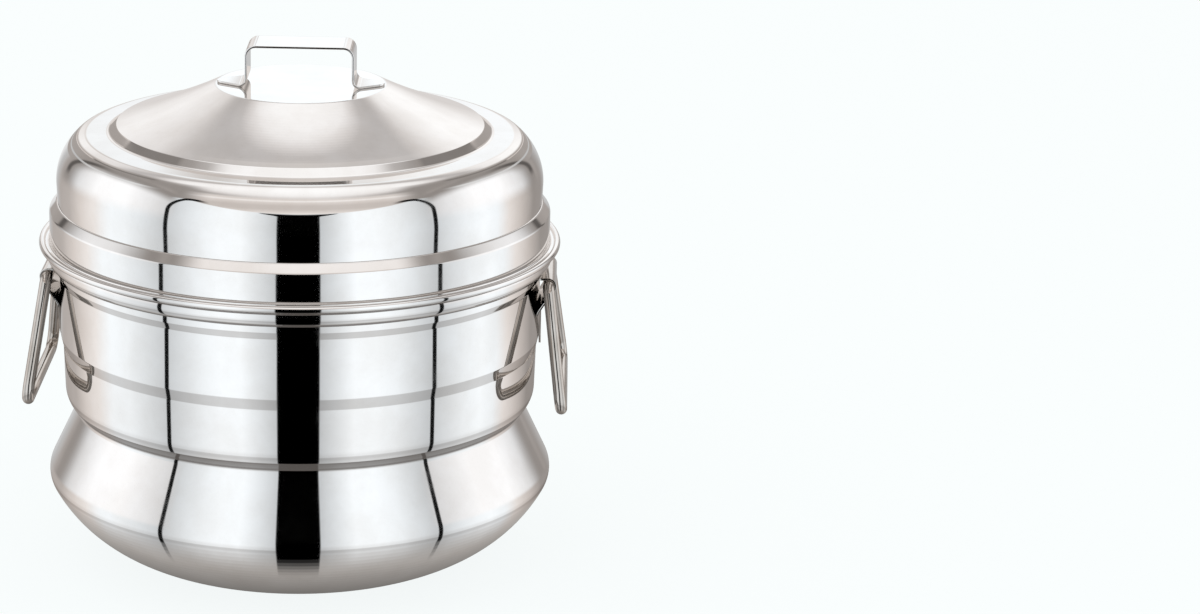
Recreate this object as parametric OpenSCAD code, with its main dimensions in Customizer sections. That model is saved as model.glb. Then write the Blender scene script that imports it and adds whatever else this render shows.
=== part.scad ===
// Stacked steamer for rice cakes: a waisted pot with two hinged bails, three
// lift-out plates with six pressed cups each, and a domed lid with a strap handle.
// Origin: centre of the base where the pot stands. +Z up, +X towards the right bail.

/* [Pot] */
// Outer radius of the upper wall, from which the other rings are set in or out
wall_r = 124.7; // [100:0.1:160]
// Thickness of the pot's sheet
pot_sheet = 0.8; // [0.5:0.1:1.2]
// Radius of the flat base
base_r = 62; // [40:1:90]
// How far the belly stands out past the upper wall
belly_out = 6.7; // [3:0.1:12]
// Height of the belly's widest ring
belly_z = 45.9; // [32:0.1:60]
// Radius of the belly's outer corner
belly_corner_r = 11.1; // [6:0.1:16]
// How far the waist lies inside the upper wall
waist_in = 8.7; // [6:0.1:12]
// Rise from the belly's widest ring to the waist
waist_rise = 34.8; // [26:0.1:45]
// Radius of the fillet in the waist
waist_fillet_r = 2.5; // [1.5:0.1:4]
// Rise of the round curve from the waist to the lower wall
curve_rise = 11.3; // [9:0.1:15]
// How far the foot of the lower wall lies inside the upper wall
lower_in = 2.1; // [1.7:0.1:3]
// How much the lower wall opens on its way up
lower_flare = 0.7; // [0.2:0.1:0.9]
// Height of the lower wall
lower_h = 22.3; // [15:0.1:40]
// Height of the step that carries the middle plate
step_h = 6; // [4:0.1:10]
// Height of the upper wall, up to the ridge
upper_h = 31.2; // [28:0.1:50]
// Height of the ridge's slope
ridge_h = 3.6; // [2:0.1:6]
// How far the ridge brings the neck out past the upper wall
ridge_out = 1.5; // [1:0.1:3]
// Height of the neck between the ridge and the bead
neck_h = 3.4; // [2:0.1:8]
// Height of the bead that carries the lid
bead_h = 10; // [8:0.1:14]
// How far the bead bulges past the line between its two edges
bead_bulge = 4; // [3:0.1:4.5]
// How far the collar stands out past the neck
collar_out = 1.8; // [1.4:0.1:3]
// Height of the collar above the bead
collar_h = 15.8; // [10:0.1:25]
// How much the collar opens at its rim
collar_flare = 0.2; // [0:0.1:0.5]

/* [Lid] */
// Thickness of the lid's sheet
lid_sheet = 0.8; // [0.5:0.1:1.2]
// Radial play between the collar's rim and the lid's skirt
lid_gap = 0.5; // [0.3:0.1:1]
// Width of the lip outside the skirt, with its rolled edge
lip_w = 5.5; // [4.5:0.1:8]
// Radius of the rolled edge of the lip
curl_r = 1.75; // [1:0.05:2]
// Radius of the fillet between the lip and the skirt
lip_fillet_r = 1.2; // [0.6:0.1:1.5]
// Room between the collar's rim and the end of the skirt
skirt_room = 1.7; // [1:0.1:4]
// Height of the ridge that narrows the skirt to the lid's wall
lid_ridge_h = 4.6; // [3:0.1:7]
// How far the lid's wall lies inside the skirt
lid_wall_in = 3.9; // [2:0.1:6]
// Height of the lid's straight wall above the ridge
lid_wall_h = 10.9; // [5:0.1:20]
// Radius of the shoulder's lower, flatter arc
shoulder_r = 29; // [24:0.5:32]
// Angle that the lower arc turns through
shoulder_turn = 50; // [45:1:58]
// Radius of the shoulder's upper, tighter arc
brow_r = 10; // [6:0.5:14]
// Slope of the rim field inside the shoulder, in degrees
field_slope = 3.8; // [0:0.1:8]
// Outer radius of the raised ring
ring_r = 99; // [90:0.5:101]
// Width of the raised ring's slope
ring_w = 4.5; // [3:0.1:8]
// Height of the raised ring
ring_h = 3.9; // [2:0.1:7]
// Height of the cone from the raised ring to the centre disc
cone_h = 20.6; // [12:0.1:30]
// Sag of the cone's hollow slope
cone_sag = 1.2; // [0.4:0.1:3]
// Radius of the flat centre disc
disc_r = 44.1; // [36:0.1:55]

/* [Lid handle] */
// Length over the two legs, outside to outside
lid_handle_l = 56; // [40:1:62]
// Width of the strap
lid_handle_w = 25; // [15:1:30]
// Height of the strap's top above the disc
lid_handle_h = 22; // [15:0.5:35]
// Thickness of the strap
lid_strap_t = 1.2; // [0.8:0.1:2]
// Length over the two ears, tip to tip
lid_ear_l = 86; // [76:1:87]
// Radius of the ears' rounded tips
lid_ear_tip_r = 5; // [2:0.5:8]
// Bend radius at the strap's upper corners, at its middle
lid_handle_bend_r = 5; // [2:0.5:8]
// Bend radius at the strap's feet, at its middle
lid_foot_bend_r = 4; // [2:0.5:6]

/* [Plates] */
// Thickness of the plates' sheet
plate_sheet = 0.8; // [0.5:0.1:1.2]
// Radius of the rolled edge of a plate
plate_curl_r = 1.2; // [0.8:0.1:1.8]
// Clearance under what rests on a ledge or on the bead
seat_gap = 0.3; // [0.2:0.05:0.4]
// Radial play between a plate's rolled edge and the wall above its ledge
plate_play = 0.7; // [0.5:0.1:1]
// Number of cups in a plate
cup_count = 6; // [4:1:6]
// Radius of a cup's mouth
cup_r = 34.5; // [26:0.5:36]
// Depth of a cup below the plate's face
cup_depth = 15.5; // [10:0.5:20]
// Width of the pressed ring round a cup's mouth
cup_ring_w = 3.2; // [2:0.1:4]
// Depth of the pressed ring
cup_ring_drop = 0.8; // [0.5:0.1:1.5]
// Smallest web between a cup's ring and the plate's rolled edge
cup_edge_web = 2.6; // [1.5:0.1:6]
// Radius of a steam hole
vent_r = 3.2; // [2:0.1:4]
// Smallest web between a steam hole and the plate's rolled edge
vent_edge_web = 5; // [2:0.1:8]
// Distance between the two outer steam holes of a group
vent_pitch = 20; // [12:0.5:26]
// How far the inner steam hole of a group lies behind the outer two
vent_row = 11; // [8:0.5:16]

/* [Plate handles] */
// Length over the two legs, outside to outside
plate_handle_l = 48; // [34:1:54]
// Width of the strap
plate_handle_w = 18; // [12:0.5:24]
// Height of the strap's top above the plate
plate_handle_h = 11; // [8:0.5:13]
// Thickness of the strap
plate_strap_t = 1; // [0.8:0.1:1.5]
// Length over the two ears, tip to tip
plate_ear_l = 74; // [64:1:78]
// Radius of the ears' rounded tips
plate_ear_tip_r = 4; // [2:0.5:6]
// Bend radius at the strap's upper corners, at its middle
plate_handle_bend_r = 2.5; // [1.5:0.5:4]
// Bend radius at the strap's feet, at its middle
plate_foot_bend_r = 2; // [1.5:0.5:3]

/* [Bails] */
// Radius of the bail's rod
rod_r = 3; // [2:0.1:3.6]
// Drop from the pivot to the lower bar, centre to centre
bail_drop = 60; // [40:1:75]
// Length of the lower bar between its corners, centre to centre
bail_l = 105; // [80:1:130]
// Bend radius at the pivot corners, at the rod's middle
bail_top_bend_r = 5; // [4:0.5:8]
// Bend radius at the lower corners, at the rod's middle
bail_low_bend_r = 7; // [5:0.5:12]
// How far the bails lean out from the vertical, in degrees
bail_lean = 7.5; // [3:0.5:20]
// Radial play of the rod in its sleeve
pivot_play = 0.08; // [0.02:0.01:0.1]
// Thickness of the bracket's sheet
bracket_sheet = 1; // [0.8:0.1:1.5]
// Length of the bracket's sleeve
sleeve_l = 44; // [30:1:60]
// Play between the sleeve's ends and the bail's bends
sleeve_end_gap = 0.8; // [0.8:0.1:2]
// Gap between the sleeve and the upper wall where they come closest
sleeve_wall_gap = 0.6; // [0.3:0.1:2]
// Drop from the pivot to where the bracket's sheet meets the wall
bracket_drop = 13; // [9:0.5:18]
// How far the bracket's tail reaches below the pivot
tail_l = 37; // [30:1:42]
// Radius of the tail's rounded tip
tail_tip_r = 3; // [2:0.5:6]

/* [Hidden] */
$fn = 96;

// A right angle and a full turn, in degrees
right_angle = 90;
full_turn = 360;
// Chords in an arc of an outline
arc_steps = 8;
// Points of an outline that lie closer than this are one point
merge_gap = 0.01;
// Gap between two welded faces that are curved
weld_gap = 0.05;
// How far a cut runs past the face that it opens
overrun = 2;
// How far a bar's collars stand out where its bends start, and half their length
bend_swell = 0.12;
collar_reach = 0.5;

// Plane geometry

// Unit vector at an angle from the first axis
function heading(a) = [cos(a), sin(a)];

// Unit vector along v
function unit(v) = v / norm(v);

// Unit vector a quarter turn to the left of v
function left_of(v) = unit([-v[1], v[0]]);

// Angle of v from the first axis
function angle_of(v) = atan2(v[1], v[0]);

// Shortest turn from angle a to angle b
function turn(a, b) =
    let (t = (b - a) % full_turn, half = full_turn / 2)
    t > half ? t - full_turn : t < -half ? t + full_turn : t;

// A list of points, last one first
function backwards(points) = [for (i = [len(points) - 1 : -1 : 0]) points[i]];

// A list of points without those that repeat the one before
function merged(points) =
    [for (i = [0 : len(points) - 1])
        if (i == 0 || norm(points[i] - points[i - 1]) > merge_gap) points[i]];

// Points along an arc about c, from angle a to angle b
function arc(c, r, a, b) =
    [for (i = [0 : arc_steps]) c + r * heading(a + (b - a) * i / arc_steps)];

// Points from p to q on an arc that bulges to the right by less than half their distance
function bulge(p, q, sagitta) =
    let (
        half = norm(q - p) / 2,
        r = (half * half + sagitta * sagitta) / (2 * sagitta),
        c = (p + q) / 2 + left_of(q - p) * (r - sagitta),
        start = angle_of(p - c)
    )
    arc(c, r, start, start + 2 * asin(half / r));

// The path moved to its left by t, with its corners kept sharp
function shifted(path, t) =
    let (last = len(path) - 1)
    [for (i = [0 : last])
        let (
            before = left_of(i == 0 ? path[1] - path[0] : path[i] - path[i - 1]),
            after = left_of(i == last ? path[last] - path[last - 1] : path[i + 1] - path[i])
        )
        path[i] + t * (before + after) / (1 + before * after)
    ];

// Centre, radius and first and last angle of the arc that rounds the corner b between a
// and c; its radius is r, or what the two sides leave room for
function corner_arc(a, b, c, r) =
    let (
        back = unit(a - b),
        ahead = unit(c - b),
        half = acos(back * ahead) / 2,
        run = min(r / tan(half), norm(a - b) / 2, norm(c - b) / 2),
        fitted = run * tan(half),
        centre = b + unit(back + ahead) * fitted / sin(half),
        start = angle_of(b + back * run - centre)
    )
    [centre, fitted, start, start + turn(start, angle_of(b + ahead * run - centre))];

// A path with each inner corner rounded by its radius, where that isn't zero
function rounded(points, radii) =
    let (last = len(points) - 1)
    [for (i = [0 : last])
        let (round_it = i > 0 && i < last && radii[i] > 0)
        each round_it
            ? let (k = corner_arc(points[i - 1], points[i], points[i + 1], radii[i]))
                arc(k[0], k[1], k[2], k[3])
            : [points[i]]
    ];

// Outline of a sheet of thickness t that lies on the left of a path
function sheet_outline(path, t) = concat(path, backwards(shifted(path, t)));

// Height of a path at radius r, on the stretch where it leads outwards
function height_at(path, r) =
    [for (i = [0 : len(path) - 2])
        if (path[i][0] <= r && path[i + 1][0] > r)
            let (share = (r - path[i][0]) / (path[i + 1][0] - path[i][0]))
            path[i][1] + share * (path[i + 1][1] - path[i][1])
    ][0];

// Points of a taper from its shoulder, half_w to each side at x, to a round tip at end_x
function taper(x, half_w, end_x, tip_r) =
    let (
        c = [end_x - tip_r, 0],
        reach = [x, half_w] - c,
        edge = angle_of(reach) - acos(tip_r / norm(reach))
    )
    concat([[x, half_w]], arc(c, tip_r, edge, -edge), [[x, -half_w]]);

// Heights and outer radii of the pot's rings, from the base up
waist_z = belly_z + waist_rise;
lower_z = waist_z + curve_rise;
step_z = lower_z + lower_h;
upper_z = step_z + step_h;
ridge_z = upper_z + upper_h;
neck_z = ridge_z + ridge_h;
bead_z = neck_z + neck_h;
collar_z = bead_z + bead_h;
rim_z = collar_z + collar_h;

belly_r = wall_r + belly_out;
waist_r = wall_r - waist_in;
lower_r = wall_r - lower_in;
step_r = lower_r + lower_flare;
neck_r = wall_r + ridge_out;
collar_r = neck_r + collar_out;
rim_r = collar_r + collar_flare;

// The belly is a wide arc off the base and a tight one round its widest ring
belly_reach = belly_r - belly_corner_r - base_r;
belly_arc_r = (pow(belly_reach, 2) + pow(belly_z, 2) - pow(belly_corner_r, 2))
    / (2 * (belly_z - belly_corner_r));
belly_arc_centre = [base_r, belly_arc_r];
belly_corner_centre = [belly_r - belly_corner_r, belly_z];
belly_join_angle = angle_of(belly_corner_centre - belly_arc_centre);

// A straight cone leads from the belly's corner towards the waist
to_waist = [waist_r, waist_z] - belly_corner_centre;
cone_start_angle = angle_of(to_waist) - acos(belly_corner_r / norm(to_waist));
cone_start = belly_corner_centre + belly_corner_r * heading(cone_start_angle);
cone_heading = unit([waist_r, waist_z] - cone_start);

// A round curve leads from the waist to the foot of the lower wall
curve_in = lower_r - waist_r;
curve_r = (pow(curve_in, 2) + pow(curve_rise, 2)) / (2 * curve_in);
curve_centre = [lower_r - curve_r, lower_z];

// The fillet in the waist touches the cone and the round curve from outside
fillet_from = cone_start - waist_fillet_r * left_of(cone_heading) - curve_centre;
fillet_along = fillet_from * cone_heading;
fillet_reach = curve_r + waist_fillet_r;
fillet_back = sqrt(pow(fillet_along, 2) - fillet_from * fillet_from + pow(fillet_reach, 2));
fillet_offset = fillet_from - (fillet_along + fillet_back) * cone_heading;
fillet_start = angle_of(left_of(cone_heading));
fillet_turn = turn(fillet_start, angle_of(-fillet_offset));

// The pot's outline, outside, from the middle of the base to the rim, in four stretches
belly = merged(concat(
    [[0, 0]],
    arc(belly_arc_centre, belly_arc_r, -right_angle, belly_join_angle),
    arc(belly_corner_centre, belly_corner_r, belly_join_angle, cone_start_angle)
));
waist_ledge = merged(concat(
    arc(curve_centre + fillet_offset, waist_fillet_r, fillet_start, fillet_start + fillet_turn),
    arc(curve_centre, curve_r, angle_of(fillet_offset), 0)
));
step_ledge = [[lower_r, lower_z], [step_r, step_z], [wall_r, upper_z], [wall_r, ridge_z]];
bead_ledge = concat(
    [[neck_r, neck_z]],
    bulge([neck_r, bead_z], [collar_r, collar_z], bead_bulge),
    [[rim_r, rim_z]]
);
pot_outline = merged(concat(belly, waist_ledge, step_ledge, bead_ledge));

// The plates lie on the three ledges, each with the same play to the wall above it
bottom_plate_r = lower_r - pot_sheet - plate_play;
middle_plate_r = wall_r - pot_sheet - plate_play;
top_plate_r = collar_r - pot_sheet - plate_play;
bottom_plate_z = seat_height(waist_ledge, bottom_plate_r);
middle_plate_z = seat_height(step_ledge, middle_plate_r);
top_plate_z = seat_height(bead_ledge, top_plate_r);

// Height of the middle of a plate's sheet when its rolled edge lies on a ledge
function seat_height(ledge, plate_r) =
    height_at(shifted(ledge, pot_sheet + plate_curl_r + seat_gap), plate_r - plate_curl_r);

// Heights and radii of the lid, from the lip up
skirt_r = rim_r + lid_gap + lid_sheet;
lip_z = collar_z + seat_gap + lid_sheet;
curl_x = skirt_r + lip_w - curl_r;
skirt_z = rim_z + skirt_room;
lid_wall_r = skirt_r - lid_wall_in;
lid_wall_z = skirt_z + lid_ridge_h;
shoulder_centre = [lid_wall_r - shoulder_r, lid_wall_z + lid_wall_h];
brow_centre = shoulder_centre + (shoulder_r - brow_r) * heading(shoulder_turn);
brow_end = brow_centre + brow_r * heading(right_angle - field_slope);
field_z = brow_end[1] + (brow_end[0] - ring_r) * tan(field_slope);
cone_foot = [ring_r - ring_w, field_z + ring_h];
disc_z = cone_foot[1] + cone_h;

// The lid's outline, outside, from the lip to the middle of the disc
lid_outline = merged(concat(
    rounded(
        [[curl_x, lip_z], [skirt_r, lip_z], [skirt_r, skirt_z], [lid_wall_r, lid_wall_z]],
        [0, lip_fillet_r, 0, 0]
    ),
    arc(shoulder_centre, shoulder_r, 0, shoulder_turn),
    arc(brow_centre, brow_r, shoulder_turn, right_angle - field_slope),
    [[ring_r, field_z]],
    backwards(bulge([disc_r, disc_z], cone_foot, cone_sag)),
    [[0, disc_z]]
));

// The bails' pivots, and the sheet that folds round them
bore_r = rod_r + pivot_play;
sleeve_r = bore_r + bracket_sheet;
pivot_x = wall_r + sleeve_wall_gap + sleeve_r;
pivot_z = ridge_z;
pivot = [pivot_x, pivot_z];
tail_r = wall_r + weld_gap + bracket_sheet;
tail_top = [tail_r, pivot_z - bracket_drop];
fold_end_angle = angle_of(tail_top - pivot) + acos(sleeve_r / norm(tail_top - pivot));
fold_edge = pivot + sleeve_r * heading(fold_end_angle);
// How far the wall has curved away behind the ends of the sleeve
wall_sag = wall_r - sqrt(pow(wall_r, 2) - pow(sleeve_l / 2, 2));
// How far the fold's ends run on behind the wall's face, to be cut flush with it
fold_run = wall_sag + bracket_sheet + overrun;
// Drop from the pivot to where the outer corners of the fold meet the wall
leaf_drop = bracket_drop
    + wall_sag * (fold_edge[1] - tail_top[1]) / (fold_edge[0] - tail_top[0]);
fold_outline = concat(
    [[tail_r - fold_run, pivot_z + sleeve_r]],
    arc(pivot, sleeve_r, right_angle, fold_end_angle),
    [tail_top + (tail_top - fold_edge) * fold_run / (fold_edge[0] - tail_top[0])]
);

// The bail's centre line: corners in the plane of the bail, with the pivot at its origin
bail_splay = atan((bail_l - sleeve_l) / 2 / bail_drop);
pivot_half_l = sleeve_l / 2 + sleeve_end_gap + bail_top_bend_r * tan((right_angle - bail_splay) / 2);
bail_corners = [
    [-pivot_half_l, 0], [pivot_half_l, 0],
    [bail_l / 2, -bail_drop], [-bail_l / 2, -bail_drop]
];
bail_bends = [bail_top_bend_r, bail_top_bend_r, bail_low_bend_r, bail_low_bend_r];

steel = [0.8, 0.78, 0.75];

// Sheet shell turned about the Z axis from the outline of its outer face
module turned_sheet(outline, t) {
    rotate_extrude() polygon(sheet_outline(outline, t));
}

// Ring of round section about the Z axis
module round_ring(ring_r, section_r) {
    rotate_extrude() translate([ring_r, 0]) circle(section_r);
}

module pot_body() {
    color(steel) turned_sheet(pot_outline, pot_sheet);
}

// The space inside the pot's outer face round the brackets, with the weld's gap
module pot_core() {
    path = shifted(concat(step_ledge, [[neck_r, neck_z], [neck_r, bead_z]]), -weld_gap);
    rotate_extrude() polygon(concat([[0, lower_z]], path, [[0, bead_z]]));
}

// Sheet folded round the pivot, with its two ends running back to the wall
module bracket_fold() {
    rotate([right_angle, 0, 0])
        linear_extrude(sleeve_l, center = true)
            polygon(concat(fold_outline, backwards(shifted(fold_outline, -bracket_sheet))));
}

// Tail of the bracket: a tapered leaf that follows the wall
module bracket_tail() {
    intersection() {
        translate([0, 0, pivot_z - tail_l])
            difference() {
                cylinder(r = tail_r, h = tail_l - bracket_drop);
                translate([0, 0, -overrun])
                    cylinder(r = wall_r + weld_gap, h = tail_l + overrun);
            }
        translate([0, 0, pivot_z])
            rotate([0, right_angle, 0])
                linear_extrude(2 * wall_r)
                    polygon(concat(
                        [[0, -sleeve_l / 2], [0, sleeve_l / 2]],
                        taper(leaf_drop, sleeve_l / 2, tail_l, tail_tip_r)
                    ));
    }
}

// Bracket at the +X side
module bracket() {
    color(steel) difference() {
        union() {
            bracket_fold();
            bracket_tail();
        }
        pot_core();
    }
}

// Bend of a round bar about the Z axis, from angle a to angle b
module bar_bend(bend_r, a, b, bar_r) {
    // The sector's two sides reach past the bar, and so does the line between them
    reach = (bend_r + bar_r + overrun) / cos((b - a) / 4);
    intersection() {
        round_ring(bend_r, bar_r);
        translate([0, 0, -bar_r - overrun])
            linear_extrude(2 * (bar_r + overrun))
                polygon([[0, 0], reach * heading(a), reach * heading((a + b) / 2), reach * heading(b)]);
    }
}

// Round bar along a closed line in the XY plane, with a bend at each corner
module bar_loop(corners, bends, bar_r) {
    n = len(corners);
    arcs = [for (i = [0 : n - 1])
        corner_arc(corners[(i + n - 1) % n], corners[i], corners[(i + 1) % n], bends[i])];
    for (i = [0 : n - 1]) {
        k = arcs[i];
        next = arcs[(i + 1) % n];
        from = k[0] + k[1] * heading(k[3]);
        to = next[0] + next[1] * heading(next[2]);
        run = norm(to - from);
        translate(k[0]) bar_bend(k[1], k[2], k[3], bar_r);
        translate(from)
            rotate([0, 0, angle_of(to - from)])
                rotate([0, right_angle, 0]) {
                    // The bar ends inside its collars, just clear of the bends
                    translate([0, 0, collar_reach / 2]) cylinder(r = bar_r, h = run - collar_reach);
                    for (end = [0, run])
                        translate([0, 0, end - collar_reach])
                            cylinder(r = bar_r + bend_swell, h = 2 * collar_reach);
                }
    }
}

// Bail at the +X side, hanging from its pivot
module bail() {
    color(steel)
        translate([pivot_x, 0, pivot_z])
            rotate([0, -bail_lean, 0])
                rotate([right_angle, 0, right_angle]) bar_loop(bail_corners, bail_bends, rod_r);
}

// Pressed cup: what its sheet adds below a plate's face at z = 0, or the hollow to cut
cup_outer_r = cup_r + cup_ring_w;
cup_h = cup_depth - cup_ring_drop;
cup_ball_r = (pow(cup_r, 2) + pow(cup_h, 2)) / (2 * cup_h);
cup_ball_centre = [0, cup_ball_r - cup_depth];
cup_outline = concat(
    [[cup_outer_r, 0], [cup_outer_r - cup_ring_drop, -cup_ring_drop]],
    arc(cup_ball_centre, cup_ball_r, angle_of([cup_r, -cup_ring_drop] - cup_ball_centre), -right_angle)
);

module cup_body() {
    under = shifted(cup_outline, plate_sheet);
    rotate_extrude()
        polygon(concat(under, [[0, -plate_sheet / 2], [under[0][0], -plate_sheet / 2]]));
}

module cup_hollow() {
    rotate_extrude() polygon(concat(cup_outline, [[0, overrun], [cup_outer_r, overrun]]));
}

// Places its children at the cups' centres in a plate of radius r
module at_cups(r) {
    cup_ring = r - 2 * plate_curl_r - cup_edge_web - cup_outer_r;
    for (i = [0 : cup_count - 1])
        rotate((i + 1 / 2) * full_turn / cup_count) translate([cup_ring, 0, 0]) children();
}

// Three steam holes between each two cups: two near the edge and one behind them
module vents(r) {
    vent_ring = r - 2 * plate_curl_r - vent_edge_web - vent_r;
    spread = asin(vent_pitch / 2 / vent_ring);
    for (i = [0 : cup_count - 1])
        rotate(i * full_turn / cup_count)
            for (hole = [[-spread, vent_ring], [spread, vent_ring], [0, vent_ring - vent_row]])
                rotate(hole[0])
                    translate([hole[1], 0, -plate_sheet - overrun])
                        cylinder(r = vent_r, h = plate_sheet + 2 * overrun);
}

// Plate of radius r with the middle of its sheet at height z
module plate(r, z) {
    color(steel)
        translate([0, 0, z + plate_sheet / 2])
            difference() {
                union() {
                    translate([0, 0, -plate_sheet]) cylinder(r = r - plate_curl_r, h = plate_sheet);
                    translate([0, 0, -plate_sheet / 2]) round_ring(r - plate_curl_r, plate_curl_r);
                    at_cups(r) cup_body();
                }
                at_cups(r) cup_hollow();
                vents(r);
            }
}

// Bent strap along X that stands on z = 0: length and height over the bends, width,
// thickness, length over the ears, radius of their tips, and the two bend radii
module strap(l, h, w, t, ear_l, tip_r, bend_r, foot_r) {
    leg = (l - t) / 2;
    side = rounded(
        [[-ear_l / 2, t / 2], [-leg, t / 2], [-leg, h - t / 2],
            [leg, h - t / 2], [leg, t / 2], [ear_l / 2, t / 2]],
        [0, foot_r, bend_r, bend_r, foot_r, 0]
    );
    ear = taper(l / 2, w / 2, ear_l / 2, tip_r);
    intersection() {
        rotate([right_angle, 0, 0])
            linear_extrude(w, center = true)
                polygon(concat(shifted(side, t / 2), backwards(shifted(side, -t / 2))));
        linear_extrude(h) polygon(concat(ear, -ear));
    }
}

// Handle of the plate whose sheet has its middle at height z
module plate_handle(z) {
    color(steel)
        translate([0, 0, z + plate_sheet / 2])
            strap(plate_handle_l, plate_handle_h, plate_handle_w, plate_strap_t,
                plate_ear_l, plate_ear_tip_r, plate_handle_bend_r, plate_foot_bend_r);
}

module lid_shell() {
    color(steel) {
        turned_sheet(lid_outline, lid_sheet);
        translate([0, 0, lip_z - lid_sheet / 2]) round_ring(curl_x, curl_r);
    }
}

module lid_handle() {
    color(steel)
        translate([0, 0, disc_z])
            strap(lid_handle_l, lid_handle_h, lid_handle_w, lid_strap_t,
                lid_ear_l, lid_ear_tip_r, lid_handle_bend_r, lid_foot_bend_r);
}

pot_body();
mirror([1, 0, 0]) bracket();  // left_bracket
bracket();  // right_bracket
mirror([1, 0, 0]) bail();  // left_bail
bail();  // right_bail
plate(bottom_plate_r, bottom_plate_z);  // bottom_plate
plate_handle(bottom_plate_z);  // bottom_plate_handle
plate(middle_plate_r, middle_plate_z);  // middle_plate
plate_handle(middle_plate_z);  // middle_plate_handle
plate(top_plate_r, top_plate_z);  // top_plate
plate_handle(top_plate_z);  // top_plate_handle
lid_shell();
lid_handle();
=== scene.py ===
"""Dresses the stacked steamer for rice cakes: polished pot, lid, plates, straps and bails.

Outlines are written in millimetres, as in the part's source, and made in metres.
"""

import logging
import math
from dataclasses import dataclass
from enum import Enum
from functools import cache

import bmesh
import bpy
from mathutils import Matrix, Vector


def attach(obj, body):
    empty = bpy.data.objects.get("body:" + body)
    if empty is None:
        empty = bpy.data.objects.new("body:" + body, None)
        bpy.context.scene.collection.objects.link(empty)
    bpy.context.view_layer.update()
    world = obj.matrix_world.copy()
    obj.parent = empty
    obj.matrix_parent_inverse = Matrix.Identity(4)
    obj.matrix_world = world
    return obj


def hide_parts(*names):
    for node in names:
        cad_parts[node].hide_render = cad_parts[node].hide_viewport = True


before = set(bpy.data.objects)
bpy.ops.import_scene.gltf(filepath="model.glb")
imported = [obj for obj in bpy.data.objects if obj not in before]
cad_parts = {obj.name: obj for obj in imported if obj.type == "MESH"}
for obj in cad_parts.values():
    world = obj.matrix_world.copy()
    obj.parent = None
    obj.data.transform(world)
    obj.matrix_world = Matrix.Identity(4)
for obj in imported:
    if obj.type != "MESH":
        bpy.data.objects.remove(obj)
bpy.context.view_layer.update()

LOG = logging.getLogger("steamer")

Point = tuple[float, float]
Fade = tuple[float, float]
Spot = tuple[float, float, float]
Colour = tuple[float, float, float]
Feeds = dict[str | int, object]

# Lengths are in millimetres and angles in degrees, if not said otherwise
MM = 0.001
ON_AXIS = 0.000001
MERGE_GAP = 0.05
CREASE = 40.0
SHEET_CREASE = 50.0

# Where the bails hang, out from the middle and up, and the height of the lid's disc
PIVOT: Point = (129.38, 151.5)
LID_TOP = 251.23

# The photograph's frame in pixels, and where its camera stands about the pot
IMAGE_W = 1200
IMAGE_H = 614
SENSOR_W = 36.0
CAMERA_TURN = 4.0
CAMERA_TILT = 15.56

# Tints of the studio; a warm one fades over TINT_FADE below the level TINT_ENDS
PLAIN: Colour = (1.0, 1.0, 1.0)
BLACK: Colour = (0.0, 0.0, 0.0)
COOL: Colour = (0.96, 1.0, 1.03)
WARM: Colour = (1.09, 1.0, 0.945)
TINT_ENDS = 1.05
TINT_FADE = 0.45

# Numbers of a colour Mix node's sockets
MIX_SHARE, MIX_FIRST, MIX_SECOND, MIX_RESULT = 0, 6, 7, 2


def heading(angle: float) -> Vector:
    """Returns the unit vector at an angle, in degrees, from the first axis."""
    return Vector((math.cos(math.radians(angle)), math.sin(math.radians(angle))))


def angle_of(v: Vector) -> float:
    """Returns the angle of v from the first axis, in degrees."""
    return math.degrees(math.atan2(v[1], v[0]))


def left_of(v: Vector) -> Vector:
    """Returns the unit vector a quarter turn to the left of v."""
    return Vector((-v[1], v[0])).normalized()


def arc(centre: Vector, radius: float, start: float, end: float, steps: int = 12) -> list[Vector]:
    """Makes points along an arc.

    Args:
        centre: The arc's centre.
        radius: The arc's radius.
        start: Angle of the first point, in degrees.
        end: Angle of the last point, in degrees.
        steps: Number of chords.

    Returns:
        The points, both ends included.
    """
    centre = Vector(centre)
    return [centre + radius * heading(start + (end - start) * i / steps) for i in range(steps + 1)]


def bulge(p: Vector, q: Vector, sagitta: float, steps: int = 16) -> list[Vector]:
    """Makes points from p to q on an arc that bulges to the right by its sagitta.

    Args:
        p: The first point.
        q: The last point.
        sagitta: How far the arc stands off the straight line.
        steps: Number of chords.

    Returns:
        The points, both ends included.
    """
    p, q = Vector(p), Vector(q)
    half = (q - p).length / 2
    radius = (half * half + sagitta * sagitta) / (2 * sagitta)
    centre = (p + q) / 2 + left_of(q - p) * (radius - sagitta)
    start = angle_of(p - centre)
    return arc(centre, radius, start, start + 2 * math.degrees(math.asin(half / radius)), steps)


def rounded(points: list[Point], radii: list[float], steps: int = 8) -> list[Vector]:
    """Rounds the inner corners of a path.

    Args:
        points: The path's corners.
        radii: One radius a corner; zero leaves the corner as it is.
        steps: Number of chords in each rounding.

    Returns:
        The path with an arc at each rounded corner.
    """
    path: list[Vector] = []
    last = len(points) - 1
    for i, corner in enumerate(points):
        b = Vector(corner)
        if i in (0, last) or radii[i] <= 0:
            path.append(b)
            continue
        back, ahead = Vector(points[i - 1]) - b, Vector(points[i + 1]) - b
        half = back.angle(ahead) / 2
        run = min(radii[i] / math.tan(half), back.length / 2, ahead.length / 2)
        fitted = run * math.tan(half)
        centre = b + (back.normalized() + ahead.normalized()).normalized() * fitted / math.sin(half)
        start = angle_of(b + back.normalized() * run - centre)
        turn = (angle_of(b + ahead.normalized() * run - centre) - start + 180) % 360 - 180
        path += arc(centre, fitted, start, start + turn, steps)
    return path


def merged(path: list[Vector], gap: float = 0.01) -> list[Vector]:
    """Drops the points that repeat the one before.

    Args:
        path: The points of the path.
        gap: Distance up to which a point repeats the one before.

    Returns:
        The points that are left.
    """
    kept = [Vector(path[0])]
    kept += [Vector(q) for p, q in zip(path, path[1:]) if (Vector(q) - Vector(p)).length > gap]
    return kept


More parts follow.
